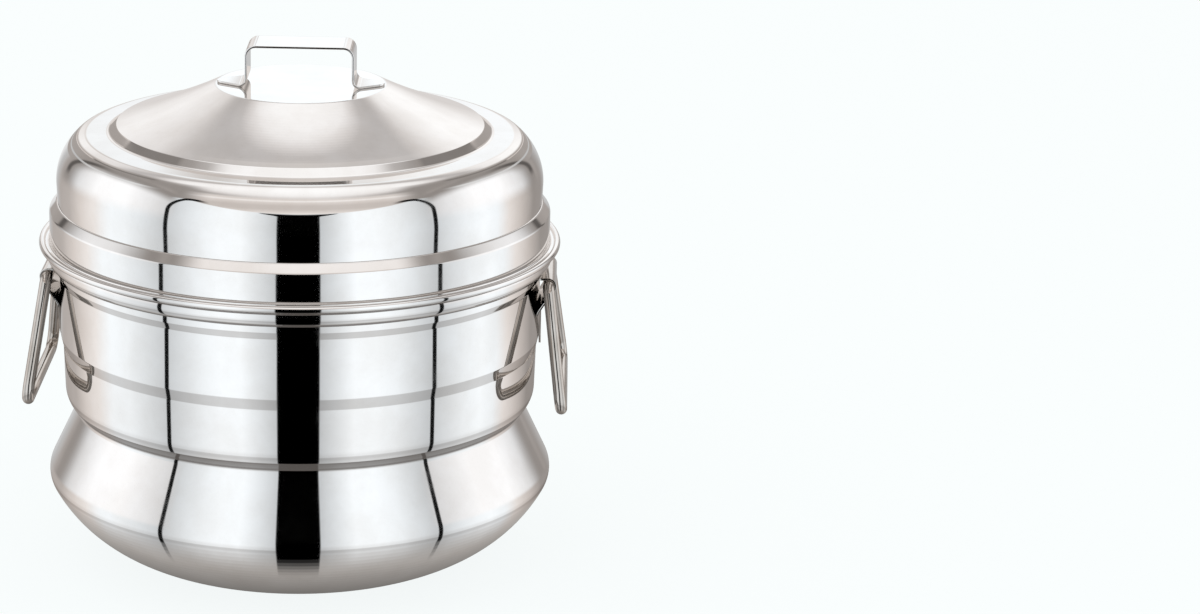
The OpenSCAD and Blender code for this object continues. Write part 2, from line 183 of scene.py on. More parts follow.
def shifted(path: list[Vector], thickness: float) -> list[Vector]:
    """Moves a path to its left, with its corners kept.

    Args:
        path: The points of the path.
        thickness: How far it moves.

    Returns:
        The moved path, with as many points.
    """
    moved: list[Vector] = []
    last = len(path) - 1
    for i, p in enumerate(path):
        before = left_of(path[1] - path[0] if i == 0 else p - path[i - 1])
        after = left_of(p - path[i - 1] if i == last else path[i + 1] - p)
        moved.append(p + thickness * (before + after) / (1 + before.dot(after)))
    return moved


def held(path: list[Vector], longest: float = 7.0, grip: float = 0.35) -> list[Vector]:
    """Splits long stretches, with a point close to each end that keeps the shading crisp.

    Args:
        path: The points of the path.
        longest: Longest stretch that stays whole.
        grip: Distance of the added points from the stretch's ends.

    Returns:
        The path with the added points.
    """
    full = [path[0]]
    for p, q in zip(path, path[1:]):
        span = (q - p).length
        if span > 4 * grip:
            first, final = p.lerp(q, grip / span), q.lerp(p, grip / span)
            cuts = max(1, math.ceil((final - first).length / longest))
            full += [first.lerp(final, i / cuts) for i in range(cuts + 1)]
        full.append(q)
    return full


def tapered(x: float, start: float, half: float, end: float, tip_r: float, least: float) -> float:
    """Finds half the width of a strip that narrows from its straight part to a round tip.

    Args:
        x: Distance along the strip.
        start: Where the straight part ends.
        half: Half the straight part's width.
        end: Where the tip ends.
        tip_r: Radius of the tip.
        least: The smallest result, at the very tip.

    Returns:
        Half the width at x.
    """
    if x <= start:
        return half
    centre = Vector((end - tip_r, 0.0))
    reach = Vector((start, half)) - centre
    edge = angle_of(reach) - math.degrees(math.acos(tip_r / reach.length))
    touch = centre + tip_r * heading(edge)
    if x < touch[0]:
        return half + (touch[1] - half) * (x - start) / (touch[0] - start)
    return math.sqrt(max(tip_r ** 2 - (x - centre[0]) ** 2, least ** 2))


def linked(name: str, data: bpy.types.ID) -> bpy.types.Object:
    """Makes an object and links it to the scene.

    Args:
        name: The object's name.
        data: Its mesh, camera or light.

    Returns:
        The new object.
    """
    made = bpy.data.objects.new(name, data)
    bpy.context.scene.collection.objects.link(made)
    return made


def plain_mesh(name: str, spots: list[Spot], edges: list[tuple[int, int]],
               faces: list[list[int]]) -> bpy.types.Mesh:
    """Makes a mesh from places in millimetres.

    Args:
        name: The mesh's name.
        spots: The vertices, in millimetres.
        edges: Vertex numbers of each lone edge.
        faces: Vertex numbers of each face.

    Returns:
        The mesh, in metres.
    """
    mesh = bpy.data.meshes.new(name)
    mesh.from_pydata([Vector(s) * MM for s in spots], edges, faces)
    return mesh


def smooth(mesh: bpy.types.Mesh, crease: float) -> None:
    """Shades a mesh smooth, with its edges over the crease angle kept sharp.

    Args:
        mesh: The mesh.
        crease: The angle, in degrees.
    """
    mesh.polygons.foreach_set("use_smooth", [True] * len(mesh.polygons))
    mesh.set_sharp_from_angle(angle=math.radians(crease))
    mesh.update()


def solid_object(name: str, spots: list[Spot], faces: list[list[int]], crease: float) -> bpy.types.Object:
    """Makes a closed, smooth-shaded object from places in millimetres.

    Args:
        name: The piece's name.
        spots: The vertices, in millimetres.
        faces: Vertex numbers of each face.
        crease: Angle, in degrees, from which an edge stays sharp.

    Returns:
        The new object, with its faces outwards.
    """
    mesh = plain_mesh(name, spots, [], faces)
    work = bmesh.new()
    work.from_mesh(mesh)
    if work.calc_volume(signed=True) < 0:
        bmesh.ops.reverse_faces(work, faces=work.faces)
    work.to_mesh(mesh)
    work.free()
    smooth(mesh, crease)
    return linked(name, mesh)


def baked(source: bpy.types.Object, name: str, crease: float) -> bpy.types.Object:
    """Turns an object with modifiers into a plain one.

    Args:
        source: The object, which is removed.
        name: The plain object's name.
        crease: Angle, in degrees, from which an edge stays sharp.

    Returns:
        The plain object.
    """
    graph = bpy.context.evaluated_depsgraph_get()
    mesh = bpy.data.meshes.new_from_object(source.evaluated_get(graph))
    mesh.name = name
    bpy.data.objects.remove(source)
    smooth(mesh, crease)
    return linked(name, mesh)


def band(low: list[int], high: list[int]) -> list[list[int]]:
    """Joins two closed rings of vertices, one of which may be a single point.

    Args:
        low: Vertex numbers of the first ring.
        high: Vertex numbers of the second ring.

    Returns:
        The faces between them.
    """
    faces: list[list[int]] = []
    count = max(len(low), len(high))
    for i in range(count):
        j = (i + 1) % count
        if len(low) == 1:
            faces.append([low[0], high[j], high[i]])
        elif len(high) == 1:
            faces.append([low[i], low[j], high[0]])
        else:
            faces.append([low[i], low[j], high[j], high[i]])
    return faces


def turned(name: str, outline: list[Vector], segments: int = 208) -> bpy.types.Object:
    """Turns an outline that starts and ends on the Z axis into a shell.

    Args:
        name: The piece's name.
        outline: Radius and height of each point, in millimetres.
        segments: Number of steps round the axis.

    Returns:
        The closed shell.
    """
    spots: list[Spot] = []
    rings: list[list[int]] = []
    for radius, z in outline:
        count = segments if radius > ON_AXIS else 1
        rings.append(list(range(len(spots), len(spots) + count)))
        for i in range(count):
            a = math.tau * i / segments
            spots.append((radius * math.cos(a), radius * math.sin(a), z))
    faces = [face for low, high in zip(rings, rings[1:]) for face in band(low, high)]
    return solid_object(name, spots, faces, CREASE)


def toned(level: float, tint: Colour) -> Colour:
    """Returns a tint at a level, with warm tints fading where it is bright."""
    share = max(0.0, min(1.0, (TINT_ENDS - level) / TINT_FADE)) if tint[0] > 1 else 1.0
    return tuple(level * (1 + (part - 1) * share) for part in tint)


@dataclass(frozen=True)
class Row:
    """Levels of one tint along a turn, a tilt or a distance."""

    tint: Colour
    stops: tuple[Point, ...]

    def colours(self) -> list[tuple[float, Colour]]:
        """Returns each stop with its colour."""
        return [(at, toned(level, self.tint)) for at, level in self.stops]


@dataclass(frozen=True)
class Pattern:
    """A noise: how fine it is, how many layers it has and how strong they are."""

    scale: float
    detail: float
    roughness: float = 0.5


@dataclass(frozen=True)
class Signal:
    """A number in a node tree, whose arithmetic adds Math nodes."""

    bench: "NodeBench"
    socket: bpy.types.NodeSocket

    def __add__(self, other: object) -> "Signal":
        """Returns the sum."""
        return self.bench.math("ADD", self, other)

    def __sub__(self, other: object) -> "Signal":
        """Returns the difference."""
        return self.bench.math("SUBTRACT", self, other)

    def __mul__(self, other: object) -> "Signal":
        """Returns the product."""
        return self.bench.math("MULTIPLY", self, other)

    def __truediv__(self, other: object) -> "Signal":
        """Returns the quotient."""
        return self.bench.math("DIVIDE", self, other)

    def __abs__(self) -> "Signal":
        """Returns the value without its sign."""
        return self.bench.math("ABSOLUTE", self)


class NodeBench:
    """Adds nodes to a tree and joins them, so that a finish reads as a recipe."""

    def __init__(self, tree: bpy.types.NodeTree) -> None:
        """Starts on a tree, emptied first."""
        self.tree = tree
        tree.nodes.clear()

    def node(self, kind: str, given: Feeds | None = None, **settings: object) -> bpy.types.Node:
        """Adds a node, sets its properties and feeds its inputs.

        Args:
            kind: Blender's name of the node type.
            given: What each input gets, by the input's name or number.
            **settings: Properties of the node.

        Returns:
            The node.
        """
        made = self.tree.nodes.new(kind)
        for key, value in settings.items():
            setattr(made, key, value)
        for key, value in (given or {}).items():
            self.feed(made.inputs[key], value)
        return made

    def feed(self, socket: bpy.types.NodeSocket, value: object) -> None:
        """Joins a socket to an output, or sets its value.

        Args:
            socket: The input socket.
            value: A signal, a node, an output socket, a number or a colour.
        """
        if isinstance(value, Signal):
            value = value.socket
        elif isinstance(value, bpy.types.Node):
            value = value.outputs[0]
        if isinstance(value, bpy.types.NodeSocket):
            self.tree.links.new(value, socket)
        elif socket.type == "RGBA":
            socket.default_value = (*value, 1.0)
        else:
            socket.default_value = value

    def math(self, operation: str, *values: object) -> Signal:
        """Returns the result of a Math node on the values."""
        made = self.node("ShaderNodeMath", dict(enumerate(values)), operation=operation)
        return Signal(self, made.outputs[0])

    def length(self, wide: Signal, high: Signal) -> Signal:
        """Returns the length of an arrow with the two parts."""
        return self.math("SQRT", wide * wide + high * high)

    def parts(self, place: bpy.types.NodeSocket) -> tuple[Signal, Signal, Signal]:
        """Returns the three numbers of a place."""
        return tuple(Signal(self, part) for part in self.node("ShaderNodeSeparateXYZ", {0: place}).outputs)

    def span(self, value: object, low: float, high: float,
             to_low: float = 0.0, to_high: float = 1.0) -> Signal:
        """Maps a range smoothly onto another, held at its ends.

        Args:
            value: The value that is mapped.
            low: Start of its range.
            high: End of its range.
            to_low: Result at the start.
            to_high: Result at the end.

        Returns:
            The mapped value.
        """
        ends = dict(enumerate((value, low, high, to_low, to_high)))
        made = self.node("ShaderNodeMapRange", ends, interpolation_type="SMOOTHSTEP")
        return Signal(self, made.outputs[0])

    def drop(self, value: object, low: float, high: float) -> Signal:
        """Returns 1 up to the first number, falling smoothly to 0 at the second."""
        return self.span(value, low, high, 1.0, 0.0)

    def mix(self, share: object, first: object, second: object, blend: str = "MIX") -> bpy.types.NodeSocket:
        """Returns the mix of two colours by a share of the second."""
        given = {MIX_SHARE: share, MIX_FIRST: first, MIX_SECOND: second}
        return self.node("ShaderNodeMix", given, data_type="RGBA", blend_type=blend).outputs[MIX_RESULT]

    def fade(self, value: object, ends: Fade, first: object, second: object) -> bpy.types.NodeSocket:
        """Returns the first colour below a fade of a value, and the second above it."""
        return self.mix(self.span(value, *ends), first, second)

    def ramp(self, value: Signal, stops: list[tuple[float, Colour]]) -> bpy.types.NodeSocket:
        """Looks a value up in a row of colours.

        Args:
            value: The value.
            stops: Values and their colours, from low to high.

        Returns:
            The colour.
        """
        low, high = stops[0][0], stops[-1][0]
        made = self.node("ShaderNodeValToRGB", {0: (value - low) / (high - low)})
        elements = made.color_ramp.elements
        while len(elements) < len(stops):
            elements.new(0.5)
        for element, (at, colour) in zip(elements, stops):
            element.position = (at - low) / (high - low)
            element.color = (*colour, 1.0)
        return made.outputs[0]

    def row(self, value: Signal, row: Row) -> bpy.types.NodeSocket:
        """Returns the colour of a row at a value."""
        return self.ramp(value, row.colours())

    def noise(self, place: object, pattern: Pattern) -> Signal:
        """Returns a pattern's value at a place."""
        made = self.node("ShaderNodeTexNoise", {"Vector": place, "Scale": pattern.scale,
                                                "Detail": pattern.detail, "Roughness": pattern.roughness})
        return Signal(self, made.outputs[0])


POLISH_LINES = Pattern(2600.0, 3.0, 0.6)
SMEARS = Pattern(38.0, 5.0, 0.62)
WAVES = Pattern(14.0, 1.0, 0.3)
WEAR_SPOTS = Pattern(160.0, 4.0)


class Grain(Enum):
    """Direction of the polishing lines that are left in the steel."""

    TURNED = "rings round the axis"
    DRAWN = "lines along the strap"
    ROLLED = "no direction"


@dataclass(frozen=True)
class SteelFinish:
    """Polished stainless steel with faint polishing lines, smudges and worn edges.

    A pair of numbers is where a noise or the edges start to tell and where they tell in full.
    """

    name: str
    grain: Grain
    light: Colour = (0.86, 0.855, 0.85)
    dark: Colour = (0.80, 0.785, 0.77)
    worn: Colour = (0.90, 0.89, 0.88)
    roughness: float = 0.022
    smudge: float = 0.035
    line_roughness: float = 0.02
    wear_roughness: float = 0.12
    wear_tone: float = 0.7
    grain_depth: float = 0.0000006
    wave_depth: float = 0.000008
    smear_tone: Fade = (0.3, 0.7)
    smear_gloss: Fade = (0.45, 0.8)
    edges: Fade = (0.53, 0.6)
    spots: Fade = (0.35, 0.7)
    line_stretch: float = 0.02
    ring_stretch: float = 0.01

    def grain_place(self, bench: NodeBench, place: bpy.types.NodeSocket) -> bpy.types.NodeSocket:
        """Stretches a place so that noise on it runs along the polishing lines.

        Args:
            bench: The material's bench.
            place: Object coordinates.

        Returns:
            The stretched place.
        """
        if self.grain is Grain.ROLLED:
            return place
        if self.grain is Grain.DRAWN:
            along = (self.line_stretch, 1.0, 1.0)
            return bench.node("ShaderNodeMapping", {"Vector": place, "Scale": along}).outputs[0]
        x, y, z = bench.parts(place)
        rings = {0: bench.length(x, y), 1: x * self.ring_stretch, 2: z}
        return bench.node("ShaderNodeCombineXYZ", rings).outputs[0]

    def bump(self, bench: NodeBench, height: Signal, depth: float, given: Feeds) -> bpy.types.Node:
        """Returns a full-strength Bump node for a height of a depth in metres."""
        return bench.node("ShaderNodeBump", {"Strength": 1.0, "Distance": depth, "Height": height} | given)

    def material(self) -> bpy.types.Material:
        """Makes the finish's material, or returns it if it is made.

        Returns:
            The material.
        """
        made = bpy.data.materials.get(self.name)
        if made is not None:
            return made
        made = bpy.data.materials.new(self.name)
        made.use_nodes = True
        bench = NodeBench(made.node_tree)
        place = bench.node("ShaderNodeTexCoord").outputs["Object"]
        lines = bench.noise(self.grain_place(bench, place), POLISH_LINES)
        smears = bench.noise(place, SMEARS)
        edge = bench.span(bench.node("ShaderNodeNewGeometry").outputs["Pointiness"], *self.edges)
        wear = edge * bench.span(bench.noise(place, WEAR_SPOTS), *self.spots)
        tone = bench.fade(smears, self.smear_tone, self.light, self.dark)
        tone = bench.mix(wear * self.wear_tone, tone, self.worn)
        rough = bench.span(smears, *self.smear_gloss, self.roughness, self.roughness + self.smudge)
        rough = rough + lines * self.line_roughness + wear * self.wear_roughness
        swell = self.bump(bench, bench.noise(place, WAVES), self.wave_depth, {})
        relief = self.bump(bench, lines, self.grain_depth, {"Normal": swell})
        steel = bench.node("ShaderNodeBsdfPrincipled", {
            "Metallic": 1.0, "Base Color": tone, "Roughness": rough, "Normal": relief})
        bench.node("ShaderNodeOutputMaterial", {0: steel})
        return made


POT_FINISH = SteelFinish("pot mirror steel", Grain.TURNED)
LID_FINISH = SteelFinish("lid mirror steel", Grain.TURNED, roughness=0.026)
PLATE_FINISH = SteelFinish("plate pressed steel", Grain.ROLLED, roughness=0.07, smudge=0.07,
                           wave_depth=0.00004, grain_depth=0.000001)
STRAP_FINISH = SteelFinish("strap drawn steel", Grain.DRAWN, roughness=0.06)
# Painted shade: the bracket's steel is darker and browner than the pot's, standing in for the shadow between
# the rod, the sleeve and the wall
SHADED_BRACKET_FINISH = SteelFinish("bracket steel with painted shade", Grain.ROLLED, light=(0.66, 0.64, 0.615),
                             dark=(0.56, 0.53, 0.50), worn=(0.80, 0.78, 0.76), roughness=0.06)
BAIL_FINISH = SteelFinish("bail rod steel", Grain.ROLLED, light=(0.60, 0.565, 0.53),
                          dark=(0.47, 0.43, 0.39), worn=(0.78, 0.75, 0.72), roughness=0.05, smudge=0.05)


def fit_out(piece: bpy.types.Object, finish: SteelFinish, body: str, slot: str, *nodes: str) -> None:
    """Gives a piece its steel and its body, and hides the nodes that it stands for.

    Args:
        piece: The finished piece.
        finish: Its steel.
        body: The body that it rides on.
        slot: Not used.
        *nodes: The CAD nodes that it replaces.
    """
    piece.data.materials.clear()
    piece.data.materials.append(finish.material())
    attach(piece, body)
    if nodes:
        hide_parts(*nodes)
    triangles = sum(len(p.vertices) - 2 for p in piece.data.polygons)
    LOG.info("%s: %d triangles on body %s", piece.name, triangles, body)


def grown(name: str, seed: bpy.types.Mesh, tree: bpy.types.NodeTree,
          values: Feeds) -> bpy.types.Object:
    """Runs a Geometry Nodes tree on a seed mesh and keeps its result as a plain mesh.

    Args:
        name: The piece's name.
        seed: The mesh that the tree starts from.
        tree: The tree.
        values: Its inputs by name.

    Returns:
        The piece, without a modifier.
    """
    source = linked(name + "_seed", seed)
    modifier = source.modifiers.new("grown", "NODES")
    modifier.node_group = tree
    for item in tree.interface.items_tree:
        if item.item_type == "SOCKET" and item.in_out == "INPUT" and item.name in values:
            modifier[item.identifier] = values[item.name]
    return baked(source, name, CREASE)


def new_tree(name: str, inputs: dict[str, str]) -> tuple[NodeBench, bpy.types.NodeOutputs]:
    """Starts a Geometry Nodes tree.

    Args:
        name: The tree's name.
        inputs: Name and socket type of each input after the geometry.

    Returns:
        The tree's bench and its inputs.
    """
    tree = bpy.data.node_groups.new(name, "GeometryNodeTree")
    for label, kind in {"Geometry": "NodeSocketGeometry", **inputs, "Steel": "NodeSocketMaterial"}.items():
        tree.interface.new_socket(label, in_out="INPUT", socket_type=kind)
    tree.interface.new_socket("Geometry", in_out="OUTPUT", socket_type="NodeSocketGeometry")
    bench = NodeBench(tree)
    return bench, bench.node("NodeGroupInput").outputs


def round_sweep(bench: NodeBench, line: bpy.types.Node, steps: bpy.types.NodeSocket,
                radius: bpy.types.NodeSocket) -> bpy.types.Node:
    """Sweeps a round section along a curve.

    Args:
        bench: The tree's bench.
        line: The node that makes the curve.
        steps: Number of the section's corners.
        radius: The section's radius.

    Returns:
        The node that makes the mesh.
    """
    section = bench.node("GeometryNodeCurvePrimitiveCircle", {"Resolution": steps, "Radius": radius})
    return bench.node("GeometryNodeCurveToMesh", {0: line, "Profile Curve": section})


def finish_tree(bench: NodeBench, shape: bpy.types.Node, steel: bpy.types.NodeSocket) -> bpy.types.NodeTree:
    """Ends a tree in Realize Instances, smooth shading and Set Material.

    Args:
        bench: The tree's bench.
        shape: The node that makes the geometry.
        steel: The material input.

    Returns:
        The tree.
    """
    realized = bench.node("GeometryNodeRealizeInstances", {0: shape})
    shaded = bench.node("GeometryNodeSetShadeSmooth", {0: realized})
    dressed = bench.node("GeometryNodeSetMaterial", {0: shaded, "Material": steel})
    bench.node("NodeGroupOutput", {0: dressed})
    return bench.tree


@cache
def rod_tree() -> bpy.types.NodeTree:
    """Makes the tree that sweeps a round rod along a closed line of edges, once.

    Returns:
        The tree.
    """
    bench, given = new_tree("Swept rod", {"Rod radius": "NodeSocketFloat", "Section steps": "NodeSocketInt"})
    line = bench.node("GeometryNodeMeshToCurve", {0: given["Geometry"]})
    rod = round_sweep(bench, line, given["Section steps"], given["Rod radius"])
    return finish_tree(bench, rod, given["Steel"])


@cache
def bead_tree() -> bpy.types.NodeTree:
    """Makes the tree that lays a round bead about each point of a mesh, once.

    Returns:
        The tree.
    """
    bench, given = new_tree("Beads on points", {
        "Ring radius": "NodeSocketFloat", "Bead radius": "NodeSocketFloat",
        "Ring steps": "NodeSocketInt", "Section steps": "NodeSocketInt"})
    ring = bench.node("GeometryNodeCurvePrimitiveCircle", {
        "Resolution": given["Ring steps"], "Radius": given["Ring radius"]})
    bead = round_sweep(bench, ring, given["Section steps"], given["Bead radius"])
    placed = bench.node("GeometryNodeInstanceOnPoints", {"Points": given["Geometry"], "Instance": bead})
    return finish_tree(bench, placed, given["Steel"])


@dataclass
class Pot:
    """The waisted pot: belly, waist, lower wall, step, upper wall, ridge, bead and collar."""

    wall_r: float = 124.7
    sheet: float = 0.8
    base_r: float = 62.0
    base_rings: tuple[float, ...] = (0.0, 20.0, 40.0)
    belly_r: float = 131.4
    belly_z: float = 45.9
    belly_corner_r: float = 11.1
    waist_r: float = 116.0
    waist_z: float = 80.7
    waist_fillet_r: float = 2.5
    lower_r: float = 122.6
    lower_z: float = 92.0
    step_r: float = 123.3
    step_z: float = 114.3
    upper_z: float = 120.3
    ridge_z: float = 151.5
    neck_r: float = 126.2
    neck_z: float = 155.1
    bead_z: float = 158.5
    bead_bulge: float = 4.0
    collar_r: float = 128.0
    collar_z: float = 168.5
    fillet_r: float = 1.6
    ridge_fillet_r: float = 1.8
    rim_r: float = 128.2
    rim_z: float = 184.3

    def belly(self) -> list[Vector]:
        """Outlines the belly, from the base's middle to the cone under the waist.

        Returns:
            The outer points.
        """
        corner_r = self.belly_corner_r
        reach = self.belly_r - corner_r - self.base_r
        wide_r = (reach ** 2 + self.belly_z ** 2 - corner_r ** 2) / (2 * (self.belly_z - corner_r))
        wide = Vector((self.base_r, wide_r))
        tight = Vector((self.belly_r - corner_r, self.belly_z))
        join = angle_of(tight - wide)
        to_waist = Vector((self.waist_r, self.waist_z)) - tight
        start = angle_of(to_waist) - math.degrees(math.acos(corner_r / to_waist.length))
        flat = [Vector((r, 0.0)) for r in self.base_rings]
        return flat + arc(wide, wide_r, -90, join, steps=30) + arc(tight, corner_r, join, start, steps=18)

    def waist(self, cone_start: Vector) -> list[Vector]:
        """Outlines the waist's fillet and the round curve up to the lower wall.

        Args:
            cone_start: Where the belly's cone starts.

        Returns:
            The outer points.
        """
        cone = (Vector((self.waist_r, self.waist_z)) - cone_start).normalized()
        run = self.lower_r - self.waist_r
        curve_r = (run ** 2 + (self.lower_z - self.waist_z) ** 2) / (2 * run)
        curve = Vector((self.lower_r - curve_r, self.lower_z))
        start = cone_start - self.waist_fillet_r * left_of(cone) - curve
        along = start.dot(cone)
        back = math.sqrt(along ** 2 - start.dot(start) + (curve_r + self.waist_fillet_r) ** 2)
        offset = start - (along + back) * cone
        first = angle_of(left_of(cone))
        turn = (angle_of(-offset) - first + 180) % 360 - 180
        return (arc(curve + offset, self.waist_fillet_r, first, first + turn, steps=10)
                + arc(curve, curve_r, angle_of(offset), 0, steps=14))

    def walls(self) -> list[Vector]:
        """Outlines the walls, the step, the ridge, the bead and the collar.

        Returns:
            The outer points.
        """
        steps = rounded(
            [(self.lower_r, self.lower_z), (self.step_r, self.step_z), (self.wall_r, self.upper_z),
             (self.wall_r, self.ridge_z), (self.neck_r, self.neck_z), (self.neck_r, self.bead_z)],
            [0, self.fillet_r, self.fillet_r, self.ridge_fillet_r, self.fillet_r, 0], steps=6)
        bead = bulge((self.neck_r, self.bead_z), (self.collar_r, self.collar_z), self.bead_bulge, steps=20)
        return steps + bead[1:] + [Vector((self.rim_r, self.rim_z))]

    def outline(self) -> list[Vector]:
        """Outlines the shell: outside up, over the rim and inside down.

        Returns:
            The points, from the base's middle to the middle above it.
        """
        belly = self.belly()
        outside = merged(belly + self.waist(belly[-1]) + self.walls(), MERGE_GAP)
        inside = shifted(outside, self.sheet)
        inside[0] = Vector((0.0, self.sheet))
        rim = (outside[-1] + inside[-1]) / 2
        start = angle_of(outside[-1] - rim)
        edge = arc(rim, self.sheet / 2, start, start + 180, steps=6)
        lowered = [p - Vector((0.0, self.sheet / 2)) for p in edge]
        outside[-1], inside[-1] = lowered[0], lowered[-1]
        return held(merged(outside + lowered[1:-1] + inside[::-1], MERGE_GAP))

    def build(self) -> None:
        """Makes and dresses the pot's shell."""
        fit_out(turned("pot_shell", self.outline()), POT_FINISH, "pot", "pot_steel", "pot_body")


@dataclass
class Lid:
    """The domed lid: rolled lip, skirt, wall, shoulder, raised ring, cone and disc."""

    sheet: float = 0.8
    lip_z: float = 169.6
    curl_x: float = 133.25
    curl_r: float = 1.75
    skirt_r: float = 129.5
    lip_fillet_r: float = 1.2
    ridge_fillet_r: float = 1.8
    skirt_z: float = 186.0
    wall_r: float = 125.6
    wall_z: float = 190.6
    shoulder_centre: Point = (96.6, 201.5)
    shoulder_r: float = 29.0
    shoulder_turn: float = 50.0
    brow_centre: Point = (108.81, 216.06)
    brow_r: float = 10.0
    field_slope: float = 3.8
    field_start: Point = (109.48, 226.03)
    field_fillet_r: float = 3.0
    foot_fillet_r: float = 1.6
    ring_r: float = 99.0
    field_z: float = 226.73
    cone_foot: Point = (94.5, 230.63)
    cone_sag: float = 1.2
    disc_r: float = 44.1
    disc_z: float = LID_TOP
    disc_fillet_r: float = 2.2

    def top(self) -> list[Vector]:
        """Outlines the lid's upper face, from the skirt to the middle of the disc.

        Returns:
            The outer points.
        """
        cone = bulge((self.disc_r, self.disc_z), self.cone_foot, self.cone_sag, steps=24)[::-1]
        low = rounded(
            [(self.curl_x, self.lip_z), (self.skirt_r, self.lip_z), (self.skirt_r, self.skirt_z),
             (self.wall_r, self.wall_z), self.shoulder_centre],
            [0, self.lip_fillet_r, self.ridge_fillet_r, self.ridge_fillet_r, 0], steps=6)[:-1]
        field = rounded(
            [self.field_start, (self.ring_r, self.field_z), self.cone_foot, tuple(cone[1])],
            [0, self.field_fillet_r, self.foot_fillet_r, 0], steps=10)[1:-1]
        crown = rounded([tuple(cone[-2]), (self.disc_r, self.disc_z), (0.0, self.disc_z)],
                        [0, self.disc_fillet_r, 0], steps=6)[1:-1]
        return (low + arc(self.shoulder_centre, self.shoulder_r, 0, self.shoulder_turn, steps=20)
                + arc(self.brow_centre, self.brow_r, self.shoulder_turn, 90 - self.field_slope, steps=10)
                + field + cone[2:-1] + crown)

    def outline(self) -> list[Vector]:
        """Outlines the shell: from the disc down inside, round the roll and back up.

        Returns:
            The points, from the disc's middle inside to its middle outside.
        """
        upper = merged(self.top(), MERGE_GAP)
        upper.append(Vector((0.0, self.disc_z)))
        under = shifted(upper, self.sheet)
        under[-1] = Vector((0.0, self.disc_z - self.sheet))
        roll = Vector((self.curl_x, self.lip_z - self.sheet / 2))
        touch = math.degrees(math.asin(self.sheet / 2 / self.curl_r))
        curl = arc(roll, self.curl_r, -180 + touch, 180 - touch, steps=30)
        return held(merged(under[1:][::-1] + curl + upper[1:], MERGE_GAP))

    def build(self) -> None:
        """Makes and dresses the lid's shell."""
        fit_out(turned("lid_dome", self.outline()), LID_FINISH, "lid", "lid_steel", "lid_shell")


@dataclass
class Strap:
    """A bent strap on two ears, the handle of the lid or of a plate."""

    name: str
    node: str
    body: str
    base_z: float
    length: float
    width: float
    height: float
    thickness: float
    ear_length: float
    tip_r: float
    bend_r: float
    foot_r: float
    edge_r: float = 0.35
    tip_angles: tuple[float, ...] = (75, 60, 45, 32, 20, 10, 3)
    past_bend: tuple[float, ...] = (0.3, 1.5)
    face_places: tuple[float, ...] = (0.94, 0.4, -0.4, -0.94)
    least_half_w: float = 0.05
    merge_gap: float = 0.02
    edge_w_share: float = 0.5
    edge_t_share: float = 0.7

    def half_width(self, x: float) -> float:
        """Returns half the strap's width at a distance x from its middle."""
        return tapered(x, self.length / 2, self.width / 2, self.ear_length / 2, self.tip_r, self.least_half_w)

    def stations(self) -> list[Vector]:
        """Makes points along the strap's middle, ear tip to ear tip, in the XZ plane.

        Returns:
            The points, their heights measured from the face under the ears.
        """
        t, leg, end = self.thickness, (self.length - self.thickness) / 2, self.ear_length / 2
        side = rounded(
            [(-end, t / 2), (-leg, t / 2), (-leg, self.height - t / 2),
             (leg, self.height - t / 2), (leg, t / 2), (end, t / 2)],
            [0, self.foot_r, self.bend_r, self.bend_r, self.foot_r, 0], steps=10)
        body = held(side[1:-1], longest=4.0)
        reaches = [end - self.tip_r + self.tip_r * math.cos(math.radians(a)) for a in self.tip_angles]
        reaches += [self.length / 2 + past for past in self.past_bend if self.length / 2 + past > body[-1][0]]
        right = [Vector((x, t / 2)) for x in sorted([*reaches, end])]
        left = [Vector((-p[0], p[1])) for p in reversed(right)]
        return merged(left + body + right, self.merge_gap)

    def section(self, half_w: float) -> list[Point]:
        """Outlines the strap's section, with its edges rounded.

        Args:
            half_w: Half the strap's width there.

        Returns:
            How far each point lies aside and above the strap's middle.
        """
        half_t = self.thickness / 2
        edge = min(self.edge_r, half_w * self.edge_w_share, half_t * self.edge_t_share)
        ring: list[Point] = []
        for y, z, start in ((1, 1, 0), (-1, 1, 90), (-1, -1, 180), (1, -1, 270)):
            centre = Vector((y * (half_w - edge), z * (half_t - edge)))
            ring += arc(centre, edge, start, start + 90, steps=4)
            if y == z:
                ring += [Vector((centre[0] * s, z * half_t)) for s in self.face_places]
        return ring

    def build(self) -> None:
        """Makes and dresses the strap."""
        path = self.stations()
        spots: list[Spot] = []
        rings: list[list[int]] = []
        for before, p, after in zip(path[:1] + path, path, path[1:] + path[-1:]):
            up = left_of(after - before)
            ring = self.section(self.half_width(abs(p[0])))
            rings.append(list(range(len(spots), len(spots) + len(ring))))
            spots += [(p[0] + up[0] * z, y, self.base_z + p[1] + up[1] * z) for y, z in ring]
        faces = [rings[0][::-1], rings[-1]] + [face for pair in zip(rings, rings[1:]) for face in band(*pair)]
        piece = solid_object(self.name, spots, faces, SHEET_CREASE)
        fit_out(piece, STRAP_FINISH, self.body, "strap_steel", self.node)


